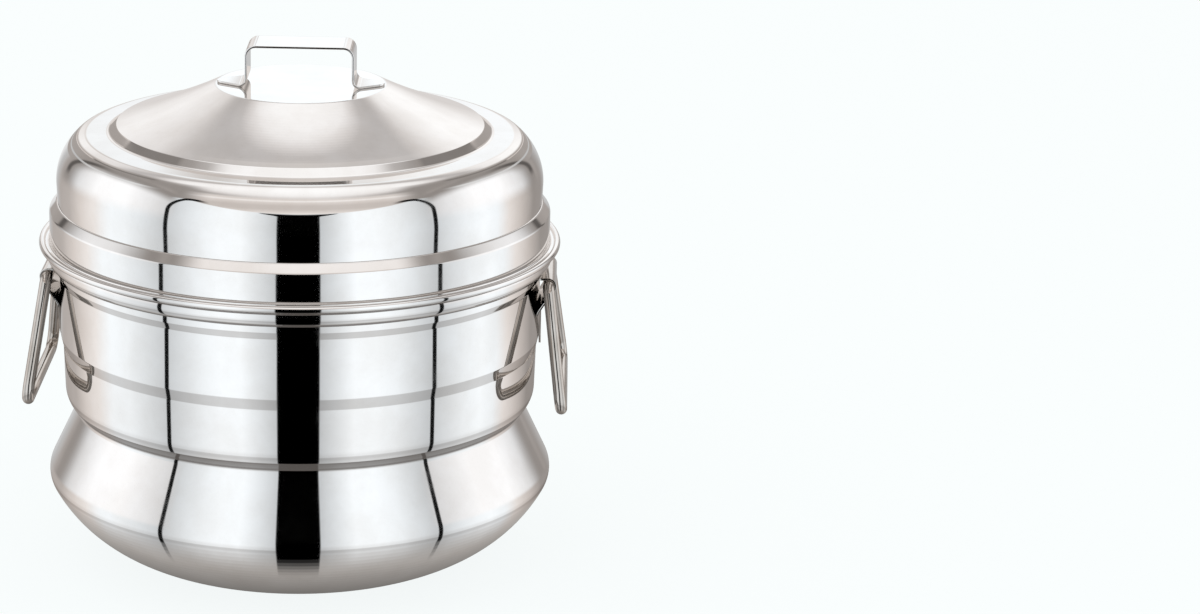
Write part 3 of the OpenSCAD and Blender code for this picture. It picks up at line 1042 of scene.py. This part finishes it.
@dataclass
class Plate:
    """One of the three cup plates: its sheet, with beads round cups and steam holes."""

    level: str
    plate_r: float
    plate_z: float
    curl_r: float = 1.2
    sheet: float = 0.8
    cup_count: int = 6
    cup_outer_r: float = 37.7
    cup_r: float = 34.5
    cup_depth: float = 15.5
    cup_ring_drop: float = 0.8
    cup_edge_web: float = 2.6
    vent_r: float = 3.2
    vent_edge_web: float = 5.0
    vent_pitch: float = 20.0
    vent_row: float = 11.0
    bead_r: float = 0.55
    lip_r: float = 0.35
    bead_sink: float = 0.35
    bead_steps: int = 10
    cup_steps: int = 96
    vent_steps: int = 24
    merge_digits: int = 7
    ball_play: float = 0.15
    ball_match: float = 0.95

    @property
    def node(self) -> str:
        """Returns the name of the plate's node, which is its body's too."""
        return self.level + "_plate"

    @property
    def face_z(self) -> float:
        """Returns the height of the plate's upper face."""
        return self.plate_z + self.sheet / 2

    def cups(self) -> list[Point]:
        """Returns the radius and angle of each cup's centre."""
        ring = self.plate_r - 2 * self.curl_r - self.cup_edge_web - self.cup_outer_r
        return [(ring, (i + 0.5) * 360 / self.cup_count) for i in range(self.cup_count)]

    def vents(self) -> list[Point]:
        """Places the steam holes between the cups: two at the edge and one behind them.

        Returns:
            The radius and angle of each hole's centre.
        """
        ring = self.plate_r - 2 * self.curl_r - self.vent_edge_web - self.vent_r
        spread = math.degrees(math.asin(self.vent_pitch / 2 / ring))
        group = ((ring, -spread), (ring, spread), (ring - self.vent_row, 0.0))
        turns = [i * 360 / self.cup_count for i in range(self.cup_count)]
        return [(radius, turn + aside) for turn in turns for radius, aside in group]

    def beads(self, kind: str, places: list[Point], ring_r: float, bead_r: float, steps: int) -> None:
        """Lays one bead about each place, on the plate's upper face.

        Args:
            kind: What the beads go round.
            places: Radius and angle of each centre.
            ring_r: Radius of a bead's ring.
            bead_r: Radius of its section.
            steps: Number of steps round the ring.
        """
        name = f"{self.level}_{kind}"
        z = self.face_z - bead_r * self.bead_sink
        centres = [(*(radius * heading(angle)), z) for radius, angle in places]
        piece = grown(name, plain_mesh(name + "_points", centres, [], []), bead_tree(), {
            "Ring radius": ring_r * MM, "Bead radius": bead_r * MM, "Ring steps": steps,
            "Section steps": self.bead_steps, "Steel": PLATE_FINISH.material()})
        fit_out(piece, PLATE_FINISH, self.node, "plate_steel")

    def sheet_mesh(self, given: bpy.types.Mesh) -> bpy.types.Mesh:
        """Copies the CAD mesh with its points merged and the true normals of the cups' balls.

        Args:
            given: The CAD mesh, whose facets a mirror would show.

        Returns:
            The plate's mesh.
        """
        height = self.cup_depth - self.cup_ring_drop
        ball_r = (self.cup_r ** 2 + height ** 2) / (2 * height)
        ball_z = self.face_z + ball_r - self.cup_depth
        balls = [Vector((*(radius * heading(angle)), ball_z)) * MM for radius, angle in self.cups()]
        arms = [min((ball - v.co for ball in balls), key=lambda arm: arm.length) for v in given.vertices]
        places: dict[Spot, int] = {}
        rounds = [tuple(round(c, self.merge_digits) for c in v.co) for v in given.vertices]
        numbers = [places.setdefault(place, len(places)) for place in rounds]
        faces: list[list[int]] = []
        normals: list[Vector] = []
        for face in given.polygons:
            corners = [numbers[v] for v in face.vertices]
            if len(set(corners)) < len(corners):
                continue
            faces.append(corners)
            for corner, v in zip(face.loop_indices, face.vertices):
                off = arms[v].length / MM - ball_r
                true = arms[v].normalized() * math.copysign(1.0, face.normal.dot(arms[v]))
                on_ball = min(abs(off), abs(off - self.sheet)) < self.ball_play
                faces_it = face.normal.dot(true) > self.ball_match
                normals.append(true if on_ball and faces_it else given.corner_normals[corner].vector.copy())
        mesh = bpy.data.meshes.new(self.node + "_sheet")
        mesh.from_pydata([Vector(place) for place in places], [], faces)
        mesh.polygons.foreach_set("use_smooth", [True] * len(faces))
        mesh.normals_split_custom_set(normals)
        return mesh

    def build(self) -> None:
        """Makes and dresses the plate's sheet and lays its beads."""
        mesh = self.sheet_mesh(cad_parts[self.node].data)
        fit_out(linked(mesh.name, mesh), PLATE_FINISH, self.node, "plate_steel", self.node)
        self.beads("cup_beads", self.cups(), self.cup_outer_r + self.bead_r, self.bead_r, self.cup_steps)
        self.beads("vent_lips", self.vents(), self.vent_r + self.lip_r, self.lip_r, self.vent_steps)


@dataclass
class Bail:
    """A round rod bent into a closed loop that swings in its bracket."""

    side: str
    sign: float
    rod_r: float = 3.0
    drop: float = 60.0
    bar_l: float = 105.0
    top_bend_r: float = 5.0
    low_bend_r: float = 7.0
    lean: float = 7.5
    pivot_half_l: float = 25.87
    section_steps: int = 28

    def centre_line(self) -> list[Spot]:
        """Makes the closed centre line of the rod, hung at its lean.

        Returns:
            The line's points, in millimetres.
        """
        half, top, low = self.bar_l / 2, self.top_bend_r, self.low_bend_r
        corners = [(0.0, 0.0), (self.pivot_half_l, 0.0), (half, -self.drop), (-half, -self.drop),
                   (-self.pivot_half_l, 0.0), (0.0, 0.0)]
        bent = merged(rounded(corners, [0, top, low, low, top, 0], steps=14))
        flat = held(bent, longest=6.0, grip=0.5)[:-1]
        tilt = math.radians(self.lean)
        return [(self.sign * (PIVOT[0] - v * math.sin(tilt)), u, PIVOT[1] + v * math.cos(tilt))
                for u, v in flat]

    def build(self) -> None:
        """Makes and dresses the rod."""
        line = self.centre_line()
        edges = [(i, (i + 1) % len(line)) for i in range(len(line))]
        seed = plain_mesh(self.side + "_line", line, edges, [])
        piece = grown(self.side + "_bail_rod", seed, rod_tree(), {
            "Rod radius": self.rod_r * MM, "Section steps": self.section_steps,
            "Steel": BAIL_FINISH.material()})
        fit_out(piece, BAIL_FINISH, self.side + "_bail", "bail_steel", self.side + "_bail")


class Course(Enum):
    """What a row of the bracket's sheet follows."""

    FLANGE = "from the wall out over the rod"
    FOLD = "round the rod"
    LEAF = "down to the wall and along it"


@dataclass
class Bracket:
    """A sheet folded round the bail's rod, with a tapered tail that follows the wall."""

    side: str
    sign: float
    wall_r: float = 124.7
    neck_r: float = 126.2
    weld_gap: float = 0.05
    sheet: float = 1.0
    sleeve_l: float = 44.0
    sleeve_r: float = 4.08
    drop: float = 13.0
    leaf_drop: float = 15.99
    tail_l: float = 37.0
    tip_r: float = 3.0
    least_half_w: float = 0.1
    columns: int = 36
    leaf_rows: int = 44
    flange_shares: tuple[float, ...] = (0.0, 0.3, 0.6, 0.9)
    tip_rises: tuple[float, ...] = (1.2, 0.7, 0.35, 0.12, 0.01)
    tip_room: float = 1.5
    settle: float = 0.5
    settle_in: float = 0.06
    edge_w: float = 0.2
    edge_steps: int = 2

    @property
    def tail_r(self) -> float:
        """Returns the radius that the tail's outer face follows."""
        return self.wall_r + self.weld_gap + self.sheet

    def half_width(self, fall: float) -> float:
        """Returns half the sheet's width at a fall below the pivot."""
        return tapered(fall, self.leaf_drop, self.sleeve_l / 2, self.tail_l, self.tip_r, self.least_half_w)

    def rows(self) -> list[tuple[Course, float, float]]:
        """Lists the sheet's rows from the wall over the rod and down to the tip.

        Returns:
            What each row follows, with its share of the flange or its distance out, and its height.
        """
        pivot, top = Vector(PIVOT), Vector((self.tail_r, PIVOT[1] - self.drop))
        end = angle_of(top - pivot) + math.degrees(math.acos(self.sleeve_r / (top - pivot).length))
        flange = [(Course.FLANGE, share, PIVOT[1] + self.sleeve_r) for share in self.flange_shares]
        fold = [(Course.FOLD, *p) for p in arc(pivot, self.sleeve_r, 90, end, steps=20)]
        edge = pivot + self.sleeve_r * heading(end)
        lowest = PIVOT[1] - self.tail_l
        falls = [edge[1] + (lowest - edge[1]) * i / self.leaf_rows for i in range(1, self.leaf_rows)]
        falls = [z for z in falls if z > lowest + self.tip_room] + [lowest + rise for rise in self.tip_rises]
        slope = (top[0] - edge[0]) / (top[1] - edge[1])
        leaf = [(Course.LEAF, edge[0] + (z - edge[1]) * slope, z) for z in sorted(falls, reverse=True)]
        return flange + fold + leaf

    def out(self, course: Course, first: float, y: float) -> float:
        """Finds how far out a point of the sheet lies.

        Args:
            course: What its row follows.
            first: Its row's share of the flange or distance out.
            y: Its distance from the bracket's middle.

        Returns:
            The distance from the pot's middle plane.
        """
        if course is Course.FLANGE:
            wall_x = math.sqrt((self.neck_r + self.weld_gap) ** 2 - y * y)
            return wall_x + (PIVOT[0] - wall_x) * first
        if course is Course.FOLD:
            return first
        on_wall = math.sqrt(self.tail_r ** 2 - y * y)
        blend = math.sqrt((first - on_wall) ** 2 + self.settle ** 2)
        return (first + on_wall + blend) / 2 - self.settle_in

    def build(self) -> None:
        """Makes, thickens and dresses the bracket."""
        rows, wide = self.rows(), self.columns + 1
        spots: list[Spot] = []
        for course, first, z in rows:
            half = self.half_width(PIVOT[1] - z)
            for y in [half * (2 * i / self.columns - 1) for i in range(wide)]:
                spots.append((self.sign * self.out(course, first, y), y, z))
        faces = [[r * wide + c, r * wide + c + 1, (r + 1) * wide + c + 1, (r + 1) * wide + c]
                 for r in range(len(rows) - 1) for c in range(self.columns)]
        if self.sign > 0:
            faces = [face[::-1] for face in faces]
        name = self.side + "_bracket_sheet"
        source = linked(name + "_seed", plain_mesh(name + "_seed", spots, [], faces))
        wall = source.modifiers.new("sheet", "SOLIDIFY")
        wall.thickness, wall.offset, wall.use_even_offset = self.sheet * MM, -1.0, True
        edge = source.modifiers.new("edge", "BEVEL")
        edge.width, edge.segments, edge.limit_method = self.edge_w * MM, self.edge_steps, "ANGLE"
        edge.angle_limit = math.radians(SHEET_CREASE)
        piece = baked(source, name, SHEET_CREASE)
        fit_out(piece, SHADED_BRACKET_FINISH, "pot", "bracket_steel", self.side + "_bracket")


@dataclass
class PhotoCamera:
    """The camera at the photograph's viewing angle, aimed so that it needs no shift."""

    distance: float = 2.0
    focal_px: float = 3830.8
    target: Spot = (0.0, 0.0, 169.4)
    target_px: Point = (301.0, 236.6)

    def build(self) -> None:
        """Makes the camera and makes it the scene's."""
        a, e = math.radians(CAMERA_TURN), math.radians(CAMERA_TILT)
        target = Vector(self.target) * MM
        back = Vector((math.sin(a) * math.cos(e), -math.cos(a) * math.cos(e), math.sin(e)))
        ray = Vector(((self.target_px[0] - IMAGE_W / 2) / self.focal_px,
                      (IMAGE_H / 2 - self.target_px[1]) / self.focal_px, -1.0))
        up = ray.cross(Vector((1.0, 0.0, ray[0]))).normalized()
        up = up if up[1] > 0 else -up
        ray.normalize()
        seen, axis = -back, Vector((0.0, 0.0, 1.0))
        raised = (axis - axis.dot(seen) * seen).normalized()
        there = Matrix((seen, raised, seen.cross(raised))).transposed()
        here = Matrix((ray, up, ray.cross(up)))
        data = bpy.data.cameras.new("photo camera")
        data.sensor_width = SENSOR_W
        data.lens = self.focal_px / IMAGE_W * SENSOR_W
        camera = linked("photo camera", data)
        camera.matrix_world = Matrix.Translation(target + back * self.distance) @ (there @ here).to_4x4()
        bpy.context.scene.camera = camera


class Tent:
    """The white tent with dark slits that the steel mirrors.

    It is painted by the turn and the tilt, in degrees, of the face that mirrors it to the photo's camera.
    A fade is where one part of it gives way to the next, in degrees where it isn't said otherwise.
    """

    WALLS = ((-90, 0.70), (-84, 0.48), (-78, 0.38), (-70, 0.42), (-63, 0.63), (-57, 0.80), (-51, 0.97),
             (-45, 0.93), (-39, 0.77), (-33, 0.60), (-28, 0.76), (-23, 0.92), (-19, 1.0), (-14, 1.0),
             (-10, 0.80), (-6, 0.60), (4.6, 0.58), (8.5, 0.78), (12.5, 1.0), (18, 1.0), (23, 0.90),
             (28, 0.72), (32, 0.58), (36, 0.72), (42, 0.90), (48, 1.0), (53, 0.92), (58, 0.73), (64, 0.52),
             (72, 0.28), (80, 0.27), (90, 0.50))
    COOL_WALLS, WARM_WALLS = 56, 81
    WALL_FOOT: Fade = (-4, 0)
    WALL_SHADE = Row((1.03, 1.0, 0.98), (
        (-50, 0.28), (-38, 0.46), (-31, 0.64), (-26, 0.70), (-21, 0.62), (-17, 0.60), (-14.2, 0.66),
        (-12.8, 0.86), (-9, 0.88), (-2, 1.0)))
    # Painted shadow: the floor that the belly's underside mirrors grows darker towards straight down, as
    # round the pot's foot
    FLOOR_SHADOW = Row((1.06, 1.0, 0.95), (
        (-90, 0.14), (-64, 0.16), (-57, 0.20), (-51, 0.245), (-46, 0.29), (-42, 0.34), (-38, 0.40),
        (-34, 0.48), (-28, 0.62)))
    FLOOR_SHADOW_TOP: Fade = (-43, -28)

    PANEL_TILT, PANEL_WIDE, PANEL_HIGH = 57.0, 45.0, 15.6
    PANEL = Row((1.05, 1.0, 0.98), (
        (0, 0.99), (0.45, 0.97), (0.63, 0.92), (0.76, 0.83), (0.85, 0.66), (0.94, 0.50), (1.06, 0.46),
        (1.3, 0.48)))
    PANEL_RIM: Fade = (0.85, 1.05)
    PANEL_END: Fade = (1.05, 1.3)
    PANEL_FOOT: Fade = (51, 57)
    PANEL_DARK, ROOF_GLOW, ROOF_WHITE, TOP_WHITE = 0.30, 0.75, 0.97, 1.0
    UNDER_LEFT = Row(WARM, ((40, 0.33), (50, 0.42), (58, 0.48), (60, 0.5)))
    UNDER_RIGHT = Row(WARM, ((40, 0.22), (48, 0.30), (54, 0.40), (60, 0.5)))
    UNDER_MIDDLE: Fade = (-10, 10)
    BESIDE = Row((1.05, 1.0, 0.975), (
        (-130, 0.50), (-104, 0.62), (-92, 0.80), (-80, 0.88), (-69, 0.80), (-57, 0.72), (-47, 0.55),
        (-40, 0.48), (41, 0.47), (47, 0.60), (57, 0.84), (69, 0.97), (82, 0.95), (93, 0.80), (104, 0.60),
        (130, 0.50)))
    BESIDE_FOOT: Fade = (52, 58)
    ROOF = Row((1.06, 1.0, 0.96), (
        (-180, 0.60), (-120, 0.55), (-90, 0.72), (-78, 0.62), (-45, 0.54), (-18, 0.64), (0, 0.68),
        (18, 0.62), (33, 0.60), (42, 0.70), (52, 0.82), (84, 0.90), (120, 0.62), (180, 0.60)))
    ROOF_FOOT: Fade = (71.5, 74)
    ROOF_LIGHT = (75.5, 79, 83, 85.5)
    ROOF_TOP: Fade = (85, 87.5)

    BOW_TURN, BOW_DROP, BOW_MOST = 25.0, 6.0, 8.0
    BAND = Row(WARM, (
        (26, 0.86), (29, 0.66), (32, 0.53), (35.5, 0.53), (38.9, 0.66), (40.3, 0.86), (41.6, 0.66),
        (42.7, 0.74), (45, 0.92)))
    BAND_TOP: Fade = (41.5, 45)
    BAND_SIDES: Fade = (22, 31)
    FLANK_TURN: Fade = (60, 76)
    FLANK_TOP: Fade = (46, 54)
    FLANK_NEAR, FLANK_FAR = 0.27, 0.33

    FRAME_TOP, FRAME_SOFT, FRAME_ROOM, FRAME_CORNER = 27.0, 0.4, 1.5, 8.5
    SEAM_TURN, SEAM_HALF, SEAM_SOFT, SEAM_SQUEEZE = 33.0, 0.45, 0.25, 0.6
    SEAM_TURNS: Fade = (22, 26)
    SEAM_FOOT: Fade = (-44, -24)
    SEAM_DARK = 0.006
    SLIT_MIDDLE, SLIT_HALF, SLIT_TOP, SLIT_FLARE = -0.65, 4.95, 26.5, 4.5
    SLIT_EDGE: Fade = (-0.12, 0.22)
    SLIT_END: Fade = (-0.2, 0.6)
    FLARE_END: Fade = (-2.2, 0.3)
    SLIT_FOOT: Fade = (-46, -32)

    SIDE_EDGE, SIDE_TOP, SIDE_CORNER = 75.0, 45.5, 17.0
    ARCH_TURN, ARCH_FALL = 52.0, 42.5
    SIDE_WHITE = Row((1.0, 1.0, 1.01), (
        (31, 0.62), (38, 0.80), (46, 1.0), (57, 1.0), (62, 0.86), (68, 0.68), (75, 0.45)))
    SIDE_SHADE: Fade = (-9.5, -0.5)
    SIDE_RIM: Fade = (0.5, 3.0)
    SIDE_END: Fade = (2.0, 7.0)
    SIDE_TURNS: Fade = (30, 34)
    SIDE_FOOT: Fade = (9, 22)
    OUTER_TOP: Fade = (40, 50)
    LINE_EDGE: Fade = (0.4, 2.2)
    LINE_TURNS: Fade = (52, 66)
    LINE_FOOT: Fade = (20, 28)
    SIDE_DARK, OUTER_DARK, LINE_DARK, LINE_SHARE = 0.26, 0.31, 0.07, 0.85

    STEP = Row((1.0, 1.0, 1.0), ((36, 0.58), (46, 0.70), (60, 0.68), (72, 0.5)))
    STEP_TURNS: Fade = (36, 46)
    STEP_TILTS = (39.2, 39.8, 40.9, 41.5)
    RING = Row(WARM, ((37, 0.34), (41, 0.20), (58, 0.20), (66, 0.17), (68, 0.58), (90, 0.66)))
    RING_TURNS: Fade = (37, 41)
    RING_TILTS = (48.0, 48.5, 49.8, 50.3)
    # Painted shade for rays mirrored a second time, as in the gaps between the lip, the bead and the ridge
    GAP_SHADE = Row(WARM, (
        (-60, 0.12), (13, 0.14), (16.5, 0.66), (22, 0.66), (26, 0.16), (35, 0.16), (60, 0.60), (90, 0.70)))
    GAP_SHADE_BOUNCE: Fade = (1.2, 1.8)
    GAP_SHADE_SHARE = 0.75

    def __init__(self, bench: NodeBench) -> None:
        """Starts with the face that mirrors each direction.

        Args:
            bench: The world's bench.
        """
        self.bench = bench
        self.turn, self.tilt = self.facing()
        self.aside = abs(self.turn)
        bow = bench.math("POWER", self.aside / self.BOW_TURN, 2.0) * self.BOW_DROP
        self.raised = self.tilt - bench.math("MINIMUM", bow, self.BOW_MOST)

    def facing(self) -> tuple[Signal, Signal]:
        """Finds the face that mirrors a ray's direction to the photo's camera.

        Returns:
            The face's turn from the camera's side and its tilt, in degrees.
        """
        bench, turn, tilt = self.bench, math.radians(CAMERA_TURN), math.radians(CAMERA_TILT)
        x, y, z = bench.parts(bench.node("ShaderNodeTexCoord").outputs["Generated"])
        side = x * math.cos(turn) + y * math.sin(turn)
        front = x * math.sin(turn) - y * math.cos(turn) + math.cos(tilt)
        up = z + math.sin(tilt)
        degree = math.degrees(1.0)
        return (bench.math("ARCTAN2", side, front) * degree,
                bench.math("ARCTAN2", up, bench.length(side, front)) * degree)

    def window(self, value: Signal, edges: tuple[float, float, float, float]) -> Signal:
        """Returns 1 between the inner two of four edges, falling smoothly to 0 at the outer two."""
        return self.bench.span(value, *edges[:2]) * self.bench.drop(value, *edges[2:])

    def rim(self, tilt: Signal, edge: float, top: float, corner: float) -> Signal:
        """Measures how far a direction lies outside a panel with rounded upper corners.

        Args:
            tilt: The direction's tilt.
            edge: The turn of the panel's side.
            top: The tilt of the panel's top.
            corner: The corners' radius.

        Returns:
            The distance, in degrees, negative inside.
        """
        wide = self.bench.math("MAXIMUM", self.aside - (edge - corner), 0.0)
        high = self.bench.math("MAXIMUM", tilt - (top - corner), 0.0)
        return self.bench.length(wide, high) - corner

    def wall_tint(self, at: float) -> Colour:
        """Returns the walls' tint at a turn: cool in front, warm beside and plain behind."""
        return COOL if abs(at) < self.COOL_WALLS else WARM if abs(at) < self.WARM_WALLS else PLAIN

    def walls(self) -> bpy.types.NodeSocket:
        """Paints the walls, and under the horizon their lower parts with painted shade and the grey floor,
        darkest straight down as a painted shadow round the pot's foot.

        Returns:
            The colour.
        """
        bench = self.bench
        stops = [(at, toned(level, self.wall_tint(at))) for at, level in self.WALLS]
        walls = bench.ramp(self.turn, stops)
        shade = bench.mix(1.0, walls, bench.row(self.tilt, self.WALL_SHADE), "MULTIPLY")
        floor = bench.row(self.tilt, self.FLOOR_SHADOW)
        low = bench.mix(bench.drop(self.tilt, *self.FLOOR_SHADOW_TOP), shade, floor)
        return bench.fade(self.tilt, self.WALL_FOOT, low, walls)

    def ceiling(self) -> bpy.types.NodeSocket:
        """Paints what the lid's top mirrors: a round bright panel in a darker ring, and the tan roof.

        Returns:
            The colour.
        """
        bench, turn, tilt = self.bench, self.turn, self.tilt
        off = bench.length(turn / self.PANEL_WIDE, (tilt - self.PANEL_TILT) / self.PANEL_HIGH)
        panel = bench.row(off, self.PANEL)
        dark = bench.fade(tilt, self.PANEL_FOOT, toned(self.PANEL_DARK, WARM), panel)
        panel = bench.fade(off, self.PANEL_RIM, panel, dark)
        under = bench.fade(turn, self.UNDER_MIDDLE,
                          bench.row(tilt, self.UNDER_LEFT), bench.row(tilt, self.UNDER_RIGHT))
        beside = bench.fade(tilt, self.BESIDE_FOOT, under, bench.row(turn, self.BESIDE))
        colour = bench.fade(off, self.PANEL_END, panel, beside)
        lighter = self.window(tilt, self.ROOF_LIGHT) * self.ROOF_GLOW
        roof = bench.mix(lighter, bench.row(turn, self.ROOF), toned(self.ROOF_WHITE, COOL))
        colour = bench.fade(tilt, self.ROOF_FOOT, colour, roof)
        return bench.fade(tilt, self.ROOF_TOP, colour, toned(self.TOP_WHITE, COOL))

    def over_frame(self, ceiling: bpy.types.NodeSocket, flank: bpy.types.NodeSocket) -> bpy.types.NodeSocket:
        """Paints the tan band over the middle frame, with the ceiling above and the flanks beside it.

        Args:
            ceiling: The ceiling's colour.
            flank: The flanks' colour.

        Returns:
            The colour.
        """
        bench = self.bench
        middle = bench.fade(self.tilt, self.BAND_TOP, bench.row(self.tilt, self.BAND), ceiling)
        return bench.fade(self.aside, self.BAND_SIDES, middle, flank)

    def side_panels(self, colour: bpy.types.NodeSocket, flank: bpy.types.NodeSocket) -> bpy.types.NodeSocket:
        """Paints the white panels on the lid's shoulder, with their dark outline.

        Args:
            colour: The colour so far.
            flank: The flanks' colour.

        Returns:
            The colour with the panels.
        """
        bench, aside, tilt = self.bench, self.aside, self.tilt
        fall = bench.math("MINIMUM", aside - self.ARCH_TURN, 0.0)
        rim = self.rim(tilt + fall * fall / self.ARCH_FALL, self.SIDE_EDGE, self.SIDE_TOP, self.SIDE_CORNER)
        white = bench.row(aside, self.SIDE_WHITE)
        side = bench.fade(rim, self.SIDE_SHADE, white, toned(self.SIDE_DARK, WARM))
        outer = bench.fade(tilt, self.OUTER_TOP, toned(self.OUTER_DARK, WARM), flank)
        side = bench.fade(rim, self.SIDE_RIM, side, outer)
        here = bench.span(aside, *self.SIDE_TURNS) * bench.span(tilt, *self.SIDE_FOOT)
        colour = bench.mix(here * bench.drop(rim, *self.SIDE_END), colour, side)
        line = bench.span(abs(rim), *self.LINE_EDGE, self.LINE_SHARE, 0.0)
        line = line * (bench.span(aside, *self.LINE_TURNS) * bench.span(tilt, *self.LINE_FOOT))
        return bench.mix(line, colour, toned(self.LINE_DARK, WARM))

    def lid_ledges(self, colour: bpy.types.NodeSocket) -> bpy.types.NodeSocket:
        """Paints what the lid's step and the wall of its raised ring mirror, each at one tilt.

        Args:
            colour: The colour so far.

        Returns:
            The colour with both.
        """
        bench, aside = self.bench, self.aside
        step = bench.span(aside, *self.STEP_TURNS) * self.window(self.tilt, self.STEP_TILTS)
        colour = bench.mix(step, colour, bench.row(aside, self.STEP))
        ring = self.window(self.tilt, self.RING_TILTS) * bench.span(aside, *self.RING_TURNS)
        return bench.mix(ring, colour, bench.row(aside, self.RING))

    def black_lines(self, colour: bpy.types.NodeSocket) -> bpy.types.NodeSocket:
        """Paints the middle frame's black seam and the black slit.

        Args:
            colour: The colour so far.

        Returns:
            The colour with both.
        """
        bench, raised = self.bench, self.raised
        top = (self.FRAME_TOP + self.FRAME_ROOM) * self.SEAM_SQUEEZE
        seam = abs(self.rim(raised * self.SEAM_SQUEEZE, self.SEAM_TURN, top, self.FRAME_CORNER))
        seam = bench.drop(seam, self.SEAM_HALF, self.SEAM_HALF + self.SEAM_SOFT)
        seam = seam * bench.span(self.aside, *self.SEAM_TURNS) * bench.span(self.tilt, *self.SEAM_FOOT)
        colour = bench.mix(seam, colour, toned(self.SEAM_DARK, COOL))
        flare = bench.span(raised - self.SLIT_TOP, *self.FLARE_END, 0.0, self.SLIT_FLARE)
        slit = bench.drop(abs(self.turn - self.SLIT_MIDDLE) - flare - self.SLIT_HALF, *self.SLIT_EDGE)
        slit = slit * bench.drop(raised - self.SLIT_TOP, *self.SLIT_END)
        slit = slit * bench.span(self.tilt, *self.SLIT_FOOT)
        return bench.mix(slit, colour, BLACK)

    def colour(self) -> bpy.types.NodeSocket:
        """Paints the tent by direction, as the steel sees it.

        Returns:
            The colour that a mirrored ray meets.
        """
        bench, ceiling = self.bench, self.ceiling()
        near, far = toned(self.FLANK_NEAR, WARM), toned(self.FLANK_FAR, WARM)
        flank = bench.fade(self.aside, self.FLANK_TURN, near, far)
        flank = bench.fade(self.tilt, self.FLANK_TOP, flank, ceiling)
        above = bench.span(self.raised - self.FRAME_TOP, -self.FRAME_SOFT, self.FRAME_SOFT)
        colour = bench.mix(above, self.walls(), self.over_frame(ceiling, flank))
        colour = self.black_lines(self.lid_ledges(self.side_panels(colour, flank)))

        # Painted shade: a ray mirrored a second time, as between the lip, the bead and the ridge, meets a
        # darker row that stands in for the shade in those gaps
        bounces = bench.node("ShaderNodeLightPath").outputs["Glossy Depth"]
        gap_shade = bench.span(bounces, *self.GAP_SHADE_BOUNCE, 0.0, self.GAP_SHADE_SHARE)
        return bench.mix(gap_shade, colour, bench.row(self.tilt, self.GAP_SHADE))


@dataclass
class Studio:
    """A pale floor, a soft lamp and a sky that mirrored rays see as the tent."""

    floor_size: float = 60000.0
    floor_z: float = -0.4
    floor_colour: Colour = (0.90, 0.93, 0.93)
    white: Colour = (0.965, 1.0, 1.0)
    floor_glow: float = 0.88
    ambient: float = 0.93
    tent_level: float = 1.18
    lamp_power: float = 9.0
    lamp_size: float = 2.4
    lamp_place: Spot = (-0.8, -0.9, 2.4)

    def sky(self) -> None:
        """Makes the world: white for the camera, the tent for mirrored rays, soft light otherwise."""
        world = bpy.data.worlds.new("studio")
        bpy.context.scene.world = world
        world.use_nodes = True
        bench = NodeBench(world.node_tree)
        path = bench.node("ShaderNodeLightPath").outputs
        plain = bench.node("ShaderNodeBackground", {0: PLAIN, 1: self.ambient})
        mirrored = bench.node("ShaderNodeBackground", {0: Tent(bench).colour(), 1: self.tent_level})
        seen = bench.node("ShaderNodeBackground", {0: self.white, 1: 1.0})
        lit = bench.node("ShaderNodeMixShader", {0: path["Is Glossy Ray"], 1: plain, 2: mirrored})
        direct = bench.math("MAXIMUM", path["Is Camera Ray"], path["Is Transmission Ray"])
        both = bench.node("ShaderNodeMixShader", {0: direct, 1: lit, 2: seen})
        bench.node("ShaderNodeOutputWorld", {0: both})

    def floor(self) -> None:
        """Lays the pale floor under the pot."""
        half, z = self.floor_size / 2, self.floor_z
        corners = [(-half, -half, z), (half, -half, z), (half, half, z), (-half, half, z)]
        ground = linked("floor", plain_mesh("floor", corners, [], [[0, 1, 2, 3]]))
        paint = bpy.data.materials.new("pale floor")
        paint.use_nodes = True
        bench = NodeBench(paint.node_tree)
        matt = bench.node("ShaderNodeBsdfDiffuse", {0: self.floor_colour})
        glow = bench.node("ShaderNodeEmission", {0: self.white, 1: 1.0})
        seen = bench.node("ShaderNodeLightPath").outputs["Is Camera Ray"]
        share = bench.math("MULTIPLY", seen, self.floor_glow)
        both = bench.node("ShaderNodeMixShader", {0: share, 1: matt, 2: glow})
        bench.node("ShaderNodeOutputMaterial", {0: both})
        ground.data.materials.append(paint)
        ground.visible_glossy = False

    def lamp(self) -> None:
        """Hangs one broad soft lamp over the front left."""
        data = bpy.data.lights.new("soft lamp", "AREA")
        data.shape, data.size, data.energy = "DISK", self.lamp_size, self.lamp_power
        lamp = linked("soft lamp", data)
        place = Vector(self.lamp_place)
        lamp.location = place
        lamp.rotation_mode = "QUATERNION"
        lamp.rotation_quaternion = (-place).to_track_quat("-Z", "Y")
        lamp.visible_glossy = False
        lamp.visible_camera = False

    def build(self) -> None:
        """Makes the sky, the floor and the lamp, and sets the plain colour transform."""
        self.sky()
        self.floor()
        self.lamp()
        bpy.context.scene.view_settings.view_transform = "Standard"


def plate_strap(plate: Plate) -> Strap:
    """Returns the handle of a plate."""
    return Strap(plate.node + "_strap", plate.node + "_handle", plate.node, plate.face_z,
                 length=48, width=18, height=11, thickness=1, ear_length=74, tip_r=4, bend_r=2.5, foot_r=2)


def main() -> None:
    """Builds the steamer's pieces in order, then the camera and the studio."""
    logging.basicConfig(level=logging.INFO, format="%(name)s: %(message)s")
    Pot().build()
    Lid().build()
    Strap("lid_strap", "lid_handle", "lid", LID_TOP, length=56, width=25, height=22, thickness=1.2,
          ear_length=86, tip_r=5, bend_r=5, foot_r=4).build()
    for plate in (Plate("bottom", 121.1, 89.18), Plate("middle", 123.2, 118.85), Plate("top", 126.5, 160.65)):
        plate.build()
        plate_strap(plate).build()
    for side, sign in (("left", -1.0), ("right", 1.0)):
        Bracket(side, sign).build()
        Bail(side, sign).build()
    PhotoCamera().build()
    Studio().build()


if __name__ == "__main__":
    main()
